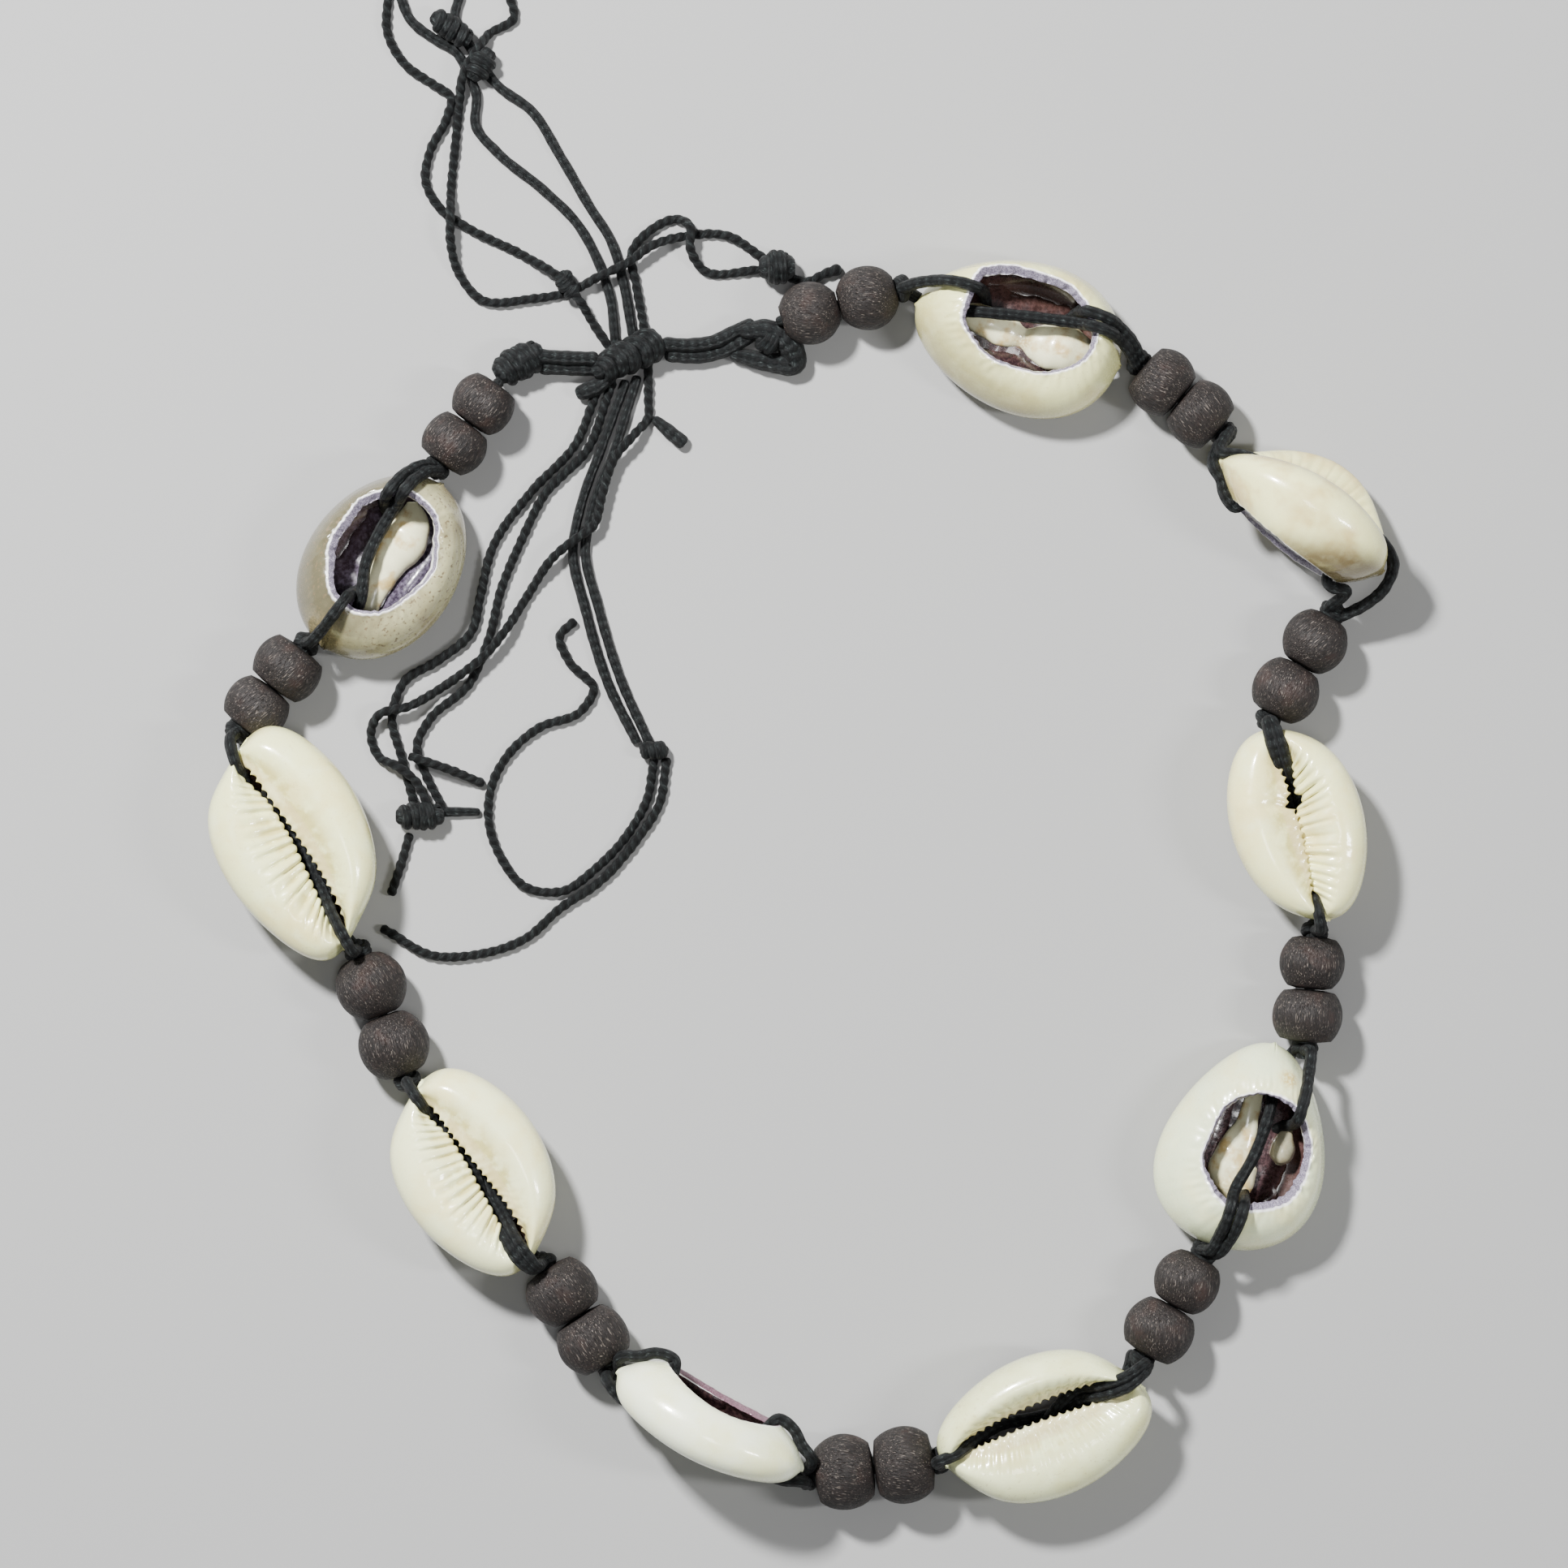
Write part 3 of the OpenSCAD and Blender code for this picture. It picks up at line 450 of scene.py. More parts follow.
def smooth(route, step):
    """Points at even steps along a smooth curve through a route."""
    p = np.asarray(route, float)
    gap = np.linalg.norm(np.diff(p[:, :3], axis=0), axis=1)
    slope = np.diff(p, axis=0) / gap[:, None]
    tangent = np.concatenate([slope[:1], slope[:1].repeat(len(p) - 2, 0), slope[-1:]])
    before, after = gap[:-1, None], gap[1:, None]
    tangent[1:-1] = (slope[1:] * before + slope[:-1] * after) / (before + after)
    u = np.linspace(0, 1, CURVE_STEPS, endpoint=False)[:, None]
    fine = [cubic(u, p[i], p[i + 1], gap[i] * tangent[i], gap[i] * tangent[i + 1]) for i in range(len(gap))]
    return evenly(np.concatenate([*fine, p[-1:]]), step)


def evenly(points, step):
    run = np.concatenate([[0], np.cumsum(np.linalg.norm(np.diff(points[:, :3], axis=0), axis=1))])
    marks = np.linspace(0, run[-1], max(4, round(run[-1] / step) + 1))
    return np.stack([np.interp(marks, run, column) for column in points.T], -1)


def unit(v):
    return v / np.linalg.norm(v, axis=-1, keepdims=True)


def normals(way):
    """A normal at each ring that turns with the curve and doesn't twist about it."""
    start = [0, 0, 1] if abs(way[0][2]) < 0.9 else [1, 0, 0]
    up = [unit(start - way[0] * np.dot(start, way[0]))]
    for one in way[1:]:
        up.append(unit(up[-1] - one * np.dot(up[-1], one)))
    return np.array(up)


def twisted(around, run, pitch=2.3):
    """Two plies laid round each other: radius share, how far out, and place in the turning frame."""
    angle = around - TAU * run / pitch
    out = np.abs(np.cos(angle))
    return 0.72 + 0.3 * out**0.8, out, angle


def braided(around, run, pitch=3.0):
    """A round braid, nearly smooth, with its crossings a little proud."""
    out = 0.5 + 0.5 * np.cos(2 * around + TAU * run / pitch) * np.cos(2 * around - TAU * run / pitch)
    return 0.96 + 0.08 * out, out, around + 0 * run


def tube(route, diameter, relief, widths=None, step=RING_STEP, sides=TUBE_SIDES, seed=0):
    """A cord along a route, with rounded ends; widths are shares of its diameter along it."""
    line = smooth(route, step)
    way = unit(np.gradient(line, axis=0))
    up = normals(way)
    run = np.arange(len(line)) * np.linalg.norm(line[1] - line[0])
    width = np.ones(len(line))
    if widths is not None:
        width = np.interp(np.linspace(0, 1, len(line)), np.linspace(0, 1, len(widths)), widths)
    share, ahead = np.array(TIP).T
    ahead = ahead[:, None] * diameter
    middle = np.concatenate([line[0] - way[0] * ahead[::-1], line, line[-1] + way[-1] * ahead])
    width = np.concatenate([share[::-1] * width[0], width, share * width[-1]])
    run = np.concatenate([-ahead[::-1, 0], run, run[-1] + ahead[:, 0]])[:, None]
    pad = ((len(TIP), len(TIP)), (0, 0))
    way, up = np.pad(way, pad, "edge"), np.pad(up, pad, "edge")
    across = np.cross(way, up)
    around = np.arange(sides)[None] / sides * TAU
    share, out, angle = relief(around, run)
    random = np.random.default_rng(seed)
    wobble = 1 + 0.03 * np.sin(run * 1.7 + random.uniform(0, 6)) + 0.02 * np.sin(run * 4.1 + 2 * around)
    r = (diameter / 2 * width)[:, None] * share * wobble
    points = (
        middle[:, None]
        + (r * np.cos(around))[..., None] * across[:, None]
        + (r * np.sin(around))[..., None] * up[:, None]
    )
    fibre = np.stack([np.cos(angle), np.sin(angle), run + 0 * around + APART * seed], -1)
    points, fibre = points.reshape(-1, 3), fibre.reshape(-1, 3)
    return shape(points, tube_faces(len(middle), sides), out=out.reshape(-1), fibre=fibre)


def coil(place, heading, diameter, length, turns, cord, tilt=0.0, narrow=1.0, seed=0):
    """Wraps of cord side by side round an axis, tilted to it, over a plain core."""
    wind = np.linspace(0, turns * TAU, int(turns * WRAP_POINTS) + 1)
    share = wind / wind[-1]
    swell = narrow + (1 - narrow) * np.minimum(1, 1.6 * share)
    radius = (diameter - cord) / 2 * swell * (1 - 0.25 * np.abs(2 * share - 1) ** 12)
    radius = radius * (1 + 0.05 * np.sin(0.61 * wind + seed))
    lean = tilt * radius * np.sin(wind) + 0.14 * np.sin(0.37 * wind + seed)
    forward = (share - 0.5) * (length - cord) + lean
    wraps = turned(np.stack([forward, radius * np.cos(wind), radius * np.sin(wind)], -1), heading) + place
    end = (length - cord) / 2
    core = turned([[-end, 0, 0], [0, 0, 0], [end, 0, 0]], heading) + place
    return joined([
        tube(wraps, cord, braided, step=WRAP_STEP, sides=WRAP_SIDES, seed=seed),
        tube(core, (diameter - cord) * narrow, braided, sides=WRAP_SIDES, seed=seed),
    ])


def cord_piece(name, made, node, relief=braided):
    return make_piece(name, made, CORD_LOOK[relief], node)


# The ties

def tie_route(route, tuck=(0, 0)):
    """A tie's route in space, run on at either end under the knot that holds it."""
    line = np.array([[x, y, TIE_D / 2 + sum(lift) * (TIE_D + TIE_GAP)] for x, y, *lift in route])
    first, last = unit(line[0] - line[1]), unit(line[-1] - line[-2])
    before = [line[0] + tuck[0] * first] if tuck[0] else []
    after = [line[-1] + tuck[1] * last] if tuck[1] else []
    return np.array([*before, *line, *after])


def make_tie(name, route, node, relief, seed, tuck=(2, 0)):
    route = tie_route(route, tuck)
    piece = cord_piece(name, tube(route, TIE_D * TIE_SWELL, relief, seed=seed), node, relief)
    line = smooth(route, RING_STEP) * MM


def short_tie(name, route, node, relief, seed, widths=None, lift=0.0):
    made = tube(tie_route(route) + [0, 0, lift], TIE_D * TIE_SWELL, relief, widths=widths, seed=seed)
    return cord_piece(name, made, node, relief)


def tie_knot(name, x, y, heading, diameter, length, turns, tilt, seed, z=None):
    place = [x, y, diameter / 2 if z is None else z]
    made = coil(place, heading, diameter, length, turns, 1.15, tilt=tilt, seed=seed)
    return cord_piece(name, made, "tie_knots")


def make_ties():
    wrap = tie_knot("upper_wrap_knot", -3.7, 73.2, 0, 4.2, 2.9, 3, 0.1, 21)
    small = tie_knot("middle_tie_knot", -18.3, 15.8, 0, 2.3, 3.6, 3.5, 0.2, 22)
    cluster = tie_knot("left_tie_knot", -46.1, 8, 0, 3.4, 5.0, 4, 0.25, 23)
    top = tie_knot("top_wrap_knot", -38.9, 97.3, 55, 3.3, 3.6, 3, 0.2, 24, z=1.65)
    upper = tie_knot("slanting_wrap_knot", -42.4, 101.6, -35, 3.0, 5.2, 4, 0.35, 25, z=1.5)
    corner = tie_knot("branch_crossing_knot", -28.6, 71.2, -60, 2.6, 3.4, 2.5, 0.4, 26, z=1.4)
    end = short_tie("bead_side_end", BEAD_END, "tie_right", twisted, 31, [1, 1, 1, 1.25], 0.15)
    tail = short_tie("left_knot_tail", KNOT_TAIL, "tie_knots", braided, 32, [1, 1, 0.8])
    left_end = short_tie("left_knot_end", KNOT_END, "tie_knots", twisted, 33)
    blunt = short_tie("blunt_end", BLUNT_END, "tie_knots", braided, 34, [1, 1.4, 1.5], 0.3)
    branch = short_tie("arc_branch", ARC_BRANCH, "tie_arc", twisted, 35)
    make_tie("outer_tie", OUTER_TIE, "tie_outer", twisted, 1)
    make_tie("inner_tie", INNER_TIE, "tie_inner", braided, 2)
    make_tie("slant_tie", SLANT_TIE, "tie_inner", braided, 3)
    make_tie("branch_tie", BRANCH_TIE, "tie_right", twisted, 4, (1, 0))
    make_tie("loop_tie", LOOP_TIE, "tie_right", twisted, 5, (2, 1))
    make_tie("left_tie", LEFT_TIE, "tie_left_pair", twisted, 6, (2, 1))
    make_tie("second_tie", SECOND_TIE, "tie_left_pair", twisted, 7, (2, 1))
    make_tie("long_tie", LONG_TIE, "tie_middle", twisted, 8, (2, 1))
    make_tie("middle_tie", MIDDLE_TIE, "tie_middle", braided, 9, (2, 1))
    make_tie("fourth_tie", FOURTH_TIE, "tie_middle", braided, 10, (2, 1))
    make_tie("side_loop", SIDE_LOOP, "tie_arc", twisted, 11, (0, 1))
    make_tie("arc_tie", ARC_TIE, "tie_arc", twisted, 12, (1, 1))


# Shells

# What is kept with each point: how near it is to the cut edge, the inside, the lips, the rolled lip
ZONES = ("rim", "inner", "lips", "roll")


def sized(k):
    return np.array([SHELLS[k][4] * SHELL_L, SHELLS[k][5] * SHELL_W, SHELLS[k][6] * SHELL_H])


def slit_shift(k, along):
    """How far the slit lies to the rolled lip's side, at a place along it from -1 to 1."""
    rear, middle, front = LIPS[k][5:8]
    return middle + (front - rear) / 2 * along + ((front + rear) / 2 - middle) * along**2


def ragged(t, k, name):
    """An uneven edge round a shell, the same on every run."""
    height, seed, slowest, fastest = RAGS[name]
    random = np.random.default_rng(seed + k)
    waves = np.arange(slowest, fastest)
    phases = random.uniform(0, TAU, len(waves))
    heights = random.uniform(0.3, 1, len(waves)) / np.sqrt(waves)
    return height * (heights * np.sin(waves * t[:, None] + phases)).sum(-1) / np.sqrt((heights**2).sum())


def cowrie(k, rough):
    """A shell's rows of points in its own frame, base at z = 0 and front along +X, and their zones."""
    s, cut, lips = sized(k), CUTS[k], LIPS[k]
    side, egg = SHELLS[k][SIDE], SHELLS[k][EGG]
    if rough:
        egg = TAPER.get(k, egg)
    t = np.arange(COLUMNS) / COLUMNS * TAU
    along = np.where(t <= math.pi, 1 - 2 * t / math.pi, 2 * t / math.pi - 3)
    lip = np.where(t < math.pi, 1.0, -1.0)
    notch = CANAL_H * np.abs(along) ** 8
    dip = cut[6] * EDGE_DIP * np.sin(t) ** 2
    if rough and k in BOWED:
        dip *= np.where(lip > 0, BOWED[k][6], BOWED[k][7])

    def outline(inset):
        ahead = rough * lips[10] * np.sin(t) * np.cos(t) ** 4
        x = (s[0] / 2 - inset) * np.cos(t) + ahead
        y = (s[1] / 2 - inset) * np.sin(t) * (1 - egg * np.cos(t))
        return np.stack([x, y], -1)

    def hole(inset):
        chip = rough * RAGGED.get(k, 1) * (ragged(t, k, "chips") + ragged(t, k, "fine chips"))
        blunt = np.where((np.cos(t) < 0) & (np.sin(t) < 0), BLUNT.get(k, 1) if rough else 1, 1)
        ahead, aside = (np.sign(way) * np.abs(way) ** blunt for way in (np.cos(t), np.sin(t)))
        x = cut[0] * SHELL_L + (cut[2] * HOLE_L / 2 - inset + chip) * ahead
        y = side * cut[1] * SHELL_W + (cut[3] * HOLE_W / 2 - inset + chip) * aside
        return np.stack([x, y], -1)

    width = np.interp(along, [-1, -0.5, 0, 0.5, 1], lips[:5]) if rough else 1
    fade = np.clip((TEETH_END - np.abs(along)) / TEETH_FADE, 0, 1)
    uneven_teeth = along + rough * ragged(t, k, "teeth")
    groove = np.abs(np.sin(math.pi * TEETH / 2 * (uneven_teeth + 1) + (lip < 0) * math.pi / 2))
    bend = slit_shift(k, along) * rough
    opening = SLIT_W / 2 * width * (1 - np.abs(along) ** 6) ** 0.35
    ridged = np.where(lip > 0, lips[8], lips[9])
    if rough and k in NICKS:
        at, half, deep = NICKS[k]
        opening = opening + deep * np.exp(-((along - at) / half) ** 2) * (1 + ragged(t, k, "nick"))
    # Where the slit is nearly closed, the ridged lip slides under the plain one
    strong = ridged > STRONG
    under = rough * UNDER * np.clip(NARROW - width, 0, 1) * strong * (1 - along**8)
    slit = np.stack([(s[0] / 2 - 1.25 * WALL) * along, lip * (opening - under) + bend], -1)
    # Sharp teeth between scallops on the plain lip, blunt ends of ridges on the other
    bite = lip * TOOTH * (1.2 * groove**0.7 - 0.6) * np.where(strong, BLUNTED, SHARP) * fade
    ridge = ridged * fade * groove**0.6 * (1 + ragged(t, k, "ridges"))
    valley = rough * fade * np.where(ridged > MIDDLING, DEEP, SHALLOW) + DEEP * under
    clean = 1 - 0.6 * np.clip(ridge, 0, 1) * strong

    def row(rim, to_hole, to_slit, inset=0.0):
        edge = outline(inset)
        flat = edge + (rim - edge) * to_hole
        return flat + (slit - flat) * to_slit

    rows, zones = [], []

    def add(flat, z, rim=0.0, inner=0.0, lips_near=0.0, roll=0.0):
        rows.append(np.column_stack([flat, z * np.ones(COLUMNS)]))
        zones.append(np.column_stack([one * np.ones(COLUMNS) for one in (rim, inner, lips_near, roll)]))

    uneven = rough * RAGGED.get(k, 1) * ragged(t, k, "edge")
    add(hole(0), s[2] - dip + uneven, rim=0.3)
    for share, to_slit, z in OUTER:
        near, reach = (np.clip((to_slit - start) / length, 0, 1) for start, length in (STAINED, RIDGED))
        near = near**1.5
        relief = (valley * near - RIDGE_H * ridge * reach + notch) * (z < 0.2)
        add(row(hole(0), share, to_slit), z * s[2] - dip * share + relief, lips_near=near * clean)
    lip_edge = slit + np.stack([0 * bite, bite], -1)
    add(lip_edge, 0.12 * s[2] + notch + valley - 0.3 * ridge, lips_near=clean)
    add(lip_edge, LIP + notch + 0.6 * valley, inner=0.6, lips_near=1)
    swell = np.maximum(0, np.sin(t)) ** 1.5
    for i, (share, to_slit, z, up) in enumerate(INNER):
        flat = row(hole(WALL), share, to_slit, WALL)
        level = z * s[2] + up * notch - dip * share
        if i < len(ROLL):
            rolled_flat = slit + np.stack([0 * t, np.full(COLUMNS, ROLL[i][0] * s[1])], -1)
            rolled_level = LIP + ROLL_H * ROLL[i][1] + notch
            flat = flat + (rolled_flat - flat) * swell[:, None]
            level = level + (rolled_level - level) * swell
        add(flat, level, inner=1, roll=swell * (i < len(ROLL)) * (k not in WHORLS))
    facing = side * t - math.radians(CUT_FACE.get(k, 0) - SHELLS[k][HEADING])
    change = CUT_CHANGE * np.cos(facing)
    inner_rim = hole(WALL * (CUT_W + change + rough * ragged(t, k, "cut face")))
    drop = CUT_DROP + change
    add(inner_rim, s[2] - dip - drop + 1.5 * uneven, rim=1, inner=0.35)
    add((hole(0) + inner_rim) / 2, s[2] - dip - 0.4 * drop + 1.2 * uneven, rim=1)

    knots = np.array(rows)
    knots[..., 1] *= side
    return through_rows(knots), through_rows(np.array(zones), straight=True)


def through_rows(keys, straight=False):
    """Rows between the given ones, round a closed section, smoothly or in straight steps."""
    made = []
    count = len(keys)
    for i in range(count):
        a, b, c, d = (keys[(i + j - 1) % count] for j in range(4))
        for u in np.arange(STRIPS[i]) / STRIPS[i]:
            if straight:
                made.append(b + (c - b) * u)
                continue
            near, far = (np.linalg.norm(x, axis=-1, keepdims=True) + 1e-6 for x in (b - a, d - c))
            gap = np.linalg.norm(c - b, axis=-1, keepdims=True) + 1e-6
            start = ((c - b) / gap * near + (b - a) / near * gap) / (near + gap)
            end = ((d - c) / far * gap + (c - b) / gap * far) / (far + gap)
            made.append(cubic(u, b, c, gap * start, gap * end))
    return np.array(made)


def rolled(p, k):
    return turned(p, SHELLS[k][ROLLED], 1, 2)


def shell_middle(k):
    """The middle of a shell's frame: it rests on its lowest point, or on the strand under its back."""
    lift = -rolled(cowrie(k, 0)[0], k)[..., 2].min()
    if abs(SHELLS[k][ROLLED] - 180) < 45:
        lift += CORD_D + CORD_GAP
    shift = turned([0, rolled([0, 0, sized(k)[2] / 2], k)[1], 0], SHELLS[k][HEADING])
    return np.array([SHELLS[k][0] - shift[0], SHELLS[k][1] - shift[1], lift])


MIDDLES = [shell_middle(k) for k in range(len(SHELLS))]


def bowed(p, k):
    """A point of a shell, with the shell's bowed base and tapered ends."""
    if k not in BOWED:
        return p
    rear, middle, front, bow, stand, back = BOWED[k][:6]
    s = sized(k)
    p = np.array(p, float)
    x, y, z = p[..., 0] / s[0] * 2, p[..., 1] / s[1] * SHELLS[k][SIDE], p[..., 2]
    high = middle + (front - rear) / 2 * x + ((front + rear) / 2 - middle) * x**2
    z = s[2] / 2 + (z - s[2] / 2) * high
    share = 1 - z / s[2]
    low = np.clip(share - 0.4, 0, 1) * np.clip(1 - x**2, 0, 1)
    drawn = stand * np.clip(-y / 0.25, 0, 1) - back * np.clip(y / 0.12, 0, 1)
    p[..., 2] = z + bow * x**2 * share - low * drawn
    return p


def on_shell(p, k):
    return MIDDLES[k] + turned(rolled(bowed(p, k), k), SHELLS[k][HEADING])


def whorl(flatness, stations):
    """A long swelling of the shell's inner whorl through its stations, in the shell's own frame."""
    line = smooth(stations, WHORL_STEP)
    line, half = line[:, :3], line[:, 3]
    way = unit(np.gradient(line, axis=0))
    across = unit(np.cross([0, 0, 1], way))
    up = np.cross(way, across)
    run = np.arange(len(line))[:, None] * WHORL_STEP
    around = np.arange(WHORL_SIDES)[None] / WHORL_SIDES * TAU
    bump = 1 + 0.04 * np.sin(1.3 * run + 2 * around) + 0.015 * np.sin(3.1 * run + around)
    reach = half[:, None] * bump
    points = line[:, None] + (reach * np.cos(around))[..., None] * across[:, None]
    points = points + (flatness * reach * np.sin(around))[..., None] * up[:, None]
    return points.reshape(-1, 3), tube_faces(len(line), WHORL_SIDES)


def make_shell(k):
    local, zone = cowrie(k, 1)
    faces = grid_faces(len(local), COLUMNS, True)
    if SHELLS[k][SIDE] > 0:
        faces = [face[::-1] for face in faces]
    points = local.reshape(-1, 3)
    zone = zone.reshape(-1, 4)
    for flatness, white, stations in WHORLS.get(k, []):
        more, more_faces = whorl(flatness, stations)
        faces += [[len(points) + corner for corner in face] for face in more_faces]
        points = np.concatenate([points, more])
        zone = np.concatenate([zone, np.tile([0.0, 1.0, 0.0, white], (len(more), 1))])
    made = shape(on_shell(points, k), faces, place=points + [APART * k, 0, 0], **dict(zip(ZONES, zone.T)))
    make_piece(f"cowrie_{k + 1}", made, SHELL_LOOK[k], f"shell_{k + 1}")


# Beads and the strands through them

def pair_half(k):
    return PAIRS[k][3] * BEAD_L + BEAD_GAP / 2 + CORD_GAP + KNOT_L


def pair_place(k):
    return np.array([PAIRS[k][0], PAIRS[k][1], max(PAIRS[k][4:]) * BEAD_D / 2])


def knot_middle(k, way):
    return pair_place(k) + turned([way * (pair_half(k) - KNOT_L / 2), 0, 0], PAIRS[k][HEADING])


# A bead's mouth: [depth from its end, beyond the bore]; its lumps: [height, waves round it, turn along it]
MOUTH = [[0.5, 0], [0.18, 0.05], [0.02, 0.25]]
LUMPS = [[0.035, 2, 0], [0.03, 3, 0.8], [0.02, 5, -1.3]]
# How thick the skin is that the lumps move, how far the painted shade at the ends reaches from an end
SKIN, END_SHADE_REACH = 1.2, 0.9


def make_bead(k, which):
    number = 2 * k + which + 1
    radius, length = PAIRS[k][4 + which] * BEAD_D / 2, PAIRS[k][3] * BEAD_L
    bore = BORE_D / 2
    corner = math.acos(length / 2 / radius)
    arc = np.linspace(corner, math.pi - corner, BEAD_ROWS)[2:-2]
    profile = [[depth - length / 2, bore + beyond] for depth, beyond in MOUTH]
    profile += np.stack([-radius * np.cos(arc), radius * np.sin(arc)], -1).tolist()
    profile += [[-x, r] for x, r in reversed(profile[:3])]
    profile += [[x, bore] for x in np.linspace(length / 2 - 1, -length / 2 + 1, 5)]
    profile = np.array(profile)
    random = np.random.default_rng(100 + number)
    around = np.arange(BEAD_SIDES)[None] / BEAD_SIDES * TAU
    x, r = profile[:, :1], profile[:, 1:]
    outside = np.clip((r - bore) / SKIN, 0, 1)
    low = random.uniform(0, 6, 6)
    r = r + sum(h * np.sin(n * around + turn * x + one) for (h, n, turn), one in zip(LUMPS, low)) * outside
    local = np.stack([x + 0 * around, r * np.cos(around), r * np.sin(around)], -1).reshape(-1, 3)
    middle = (2 * which - 1) * (length + BEAD_GAP) / 2
    world = pair_place(k) + turned(local + [middle, 0, 0], PAIRS[k][HEADING])
    # Painted shade towards each end, where the beads meet each other and the knots
    worn = np.clip(1 - np.abs(np.abs(x) - length / 2) / END_SHADE_REACH, 0, 1) * outside + 0 * around
    lean = random.uniform(-0.5, 0.5)
    grain = np.stack([local[:, 0], local[:, 1] + lean * local[:, 0], local[:, 2]], -1)
    made = shape(
        world, grid_faces(len(profile), BEAD_SIDES, True), place=grain + random.uniform(-90, 90, 3),
        worn=worn.reshape(-1), tone=np.full(len(local), random.uniform(0, 1)),
    )
    make_piece(f"wooden_bead_{number}", made, BEAD_LOOK, f"bead_{number}")


def make_thread(k):
    half, last = pair_half(k), len(PAIRS) - 1
    rear, front = (half - KNOT_L * (1 if k == end else 0.5) for end in (0, last))
    parts = []
    for side in (-CORD_D / 2, CORD_D / 2):
        ends = [[-rear, 0, side], [0, 0, side], [front, 0, side]]
        parts.append(tube(pair_place(k) + turned(ends, PAIRS[k][HEADING]), CORD_D, braided, seed=k))
    for way in (-1, 1):
        if (k, way) not in ((0, -1), (last, 1)):
            tilt = 0.35 if (k + way) % 2 else -0.3
            parts.append(coil(knot_middle(k, way), PAIRS[k][HEADING], KNOT_D + 0.5, KNOT_L + 0.9, 2.2, 1.2,
                              tilt=tilt, seed=3 * k + way))
    cord_piece(f"bead_strands_{k + 1}", joined(parts), f"thread_{k + 1}")


def leaves(pair, way, degrees):
    angle = math.radians(degrees)
    # Nearer than in the source, so that the strand comes out of the knot
    off = KNOT_D / 2
    beside = [way * CORD_GAP, -off * math.cos(angle), off * math.sin(angle)]
    return knot_middle(pair, way) + turned(beside, PAIRS[pair][HEADING])


def edge_reach(k, left):
    """How far ahead of its middle a hole's edge lies, at a distance to the left of it."""
    return CUTS[k][2] * HOLE_L / 2 * math.sqrt(1 - (left / (CUTS[k][3] * HOLE_W / 2)) ** 2)


def knot_left(k, front):
    """How far to the left of a shell's own axis the knot beyond its end lies."""
    beyond = knot_middle(k + 1, -1) if front else knot_middle(k, 1)
    return turned(beyond - MIDDLES[k], -SHELLS[k][HEADING])[1] * math.cos(math.radians(SHELLS[k][ROLLED]))


def towards(y, target, shares):
    return [y + (target - y) * share for share in shares]


def over_end(k, front, aside=0.0, deep=True):
    s, way = sized(k), 1 if front else -1
    y = CUTS[k][5 if front else 4] * s[1] + aside
    middle, left = CUTS[k][0] * SHELL_L, abs(y - CUTS[k][1] * SHELL_W)
    edge = middle + way * edge_reach(k, left)
    clear = edge_reach(k, left) - 0.6 * WALL - 0.45 * CORD_D
    shares = [0] * len(OVER) if SHELLS[k][ROLLED] == ON_SIDE else ASIDE_OVER
    lefts = towards(y, knot_left(k, front) + aside / 2, shares)
    over = [
        on_shell([way * s[0] / 2 * (1 - a) + edge * a - way * past * WALL, left, z * s[2] + up * CORD_D], k)
        for left, (a, z, up, past) in zip(lefts, OVER)
    ]
    down = [on_shell([middle + way * (clear + x), y, z * s[2]], k) for x, z in (DOWN if deep else STAYS_UP)]
    return [*over[LEAVES[k][5 if front else 4]:], *down]


def through_end(k, front, aside=0.0):
    """The way through the notch; it goes down at once where the lips close on each other."""
    s, way = sized(k), 1 if front else -1
    y = slit_shift(k, way) * SHELLS[k][SIDE] + aside
    hole_up = SHELLS[k][ROLLED] == HOLE_UP
    shares = ASIDE_UP if hole_up else ASIDE_DOWN
    if SHELLS[k][ROLLED] == ON_SIDE:
        shares = (0, *shares[1:])
    lefts = towards(y, knot_left(k, front), shares)
    shut = front and k in SHUT
    return [
        on_shell([-way * x * s[0], left, z * s[2] + up * CORD_D + shut * deeper * s[2]], k)
        for (x, z, up), left, deeper in zip(THROUGH[:3 if hole_up else 4], lefts, DEEPER)
    ]


def passing(k, over_front):
    return [on_shell(np.array(p) * sized(k), k) for p in PASSES.get(k, MIDWAY)[over_front]]


def make_shell_strands(k):
    round_tip = [on_shell(np.array(p) * sized(k), k) for p in ROUND_TIP] if k == 1 else []
    # On a shell with its hole on top both strands go over the front, side by side
    hole_up = SHELLS[k][ROLLED] == HOLE_UP
    second = over_end(k, True, CORD_D + 2 * CORD_GAP) if hole_up else through_end(k, True)
    routes = [
        [leaves(k, 1, LEAVES[k][0]), *over_end(k, False), *passing(k, False), *second[::-1],
         *round_tip, leaves(k + 1, -1, LEAVES[k][3])],
        [leaves(k, 1, LEAVES[k][1]), *through_end(k, False), *passing(k, True),
         *over_end(k, True, deep=not hole_up)[::-1], leaves(k + 1, -1, LEAVES[k][2])],
    ]
    if k in DOUBLED:
        beside = through_end(k, False, DOUBLED[k])
        routes.append([leaves(k, 1, LEAVES[k][1]), *beside, on_shell([0, 0, 0.5 * sized(k)[2]], k)])
    for name, route in zip(("over_rear", "over_front", "doubled"), routes):
        made = tube(route, STRAND_D, braided, seed=50 + k)
        cord_piece(f"strand_{k + 1}_{name}", made, f"shell_cord_{k + 1}")


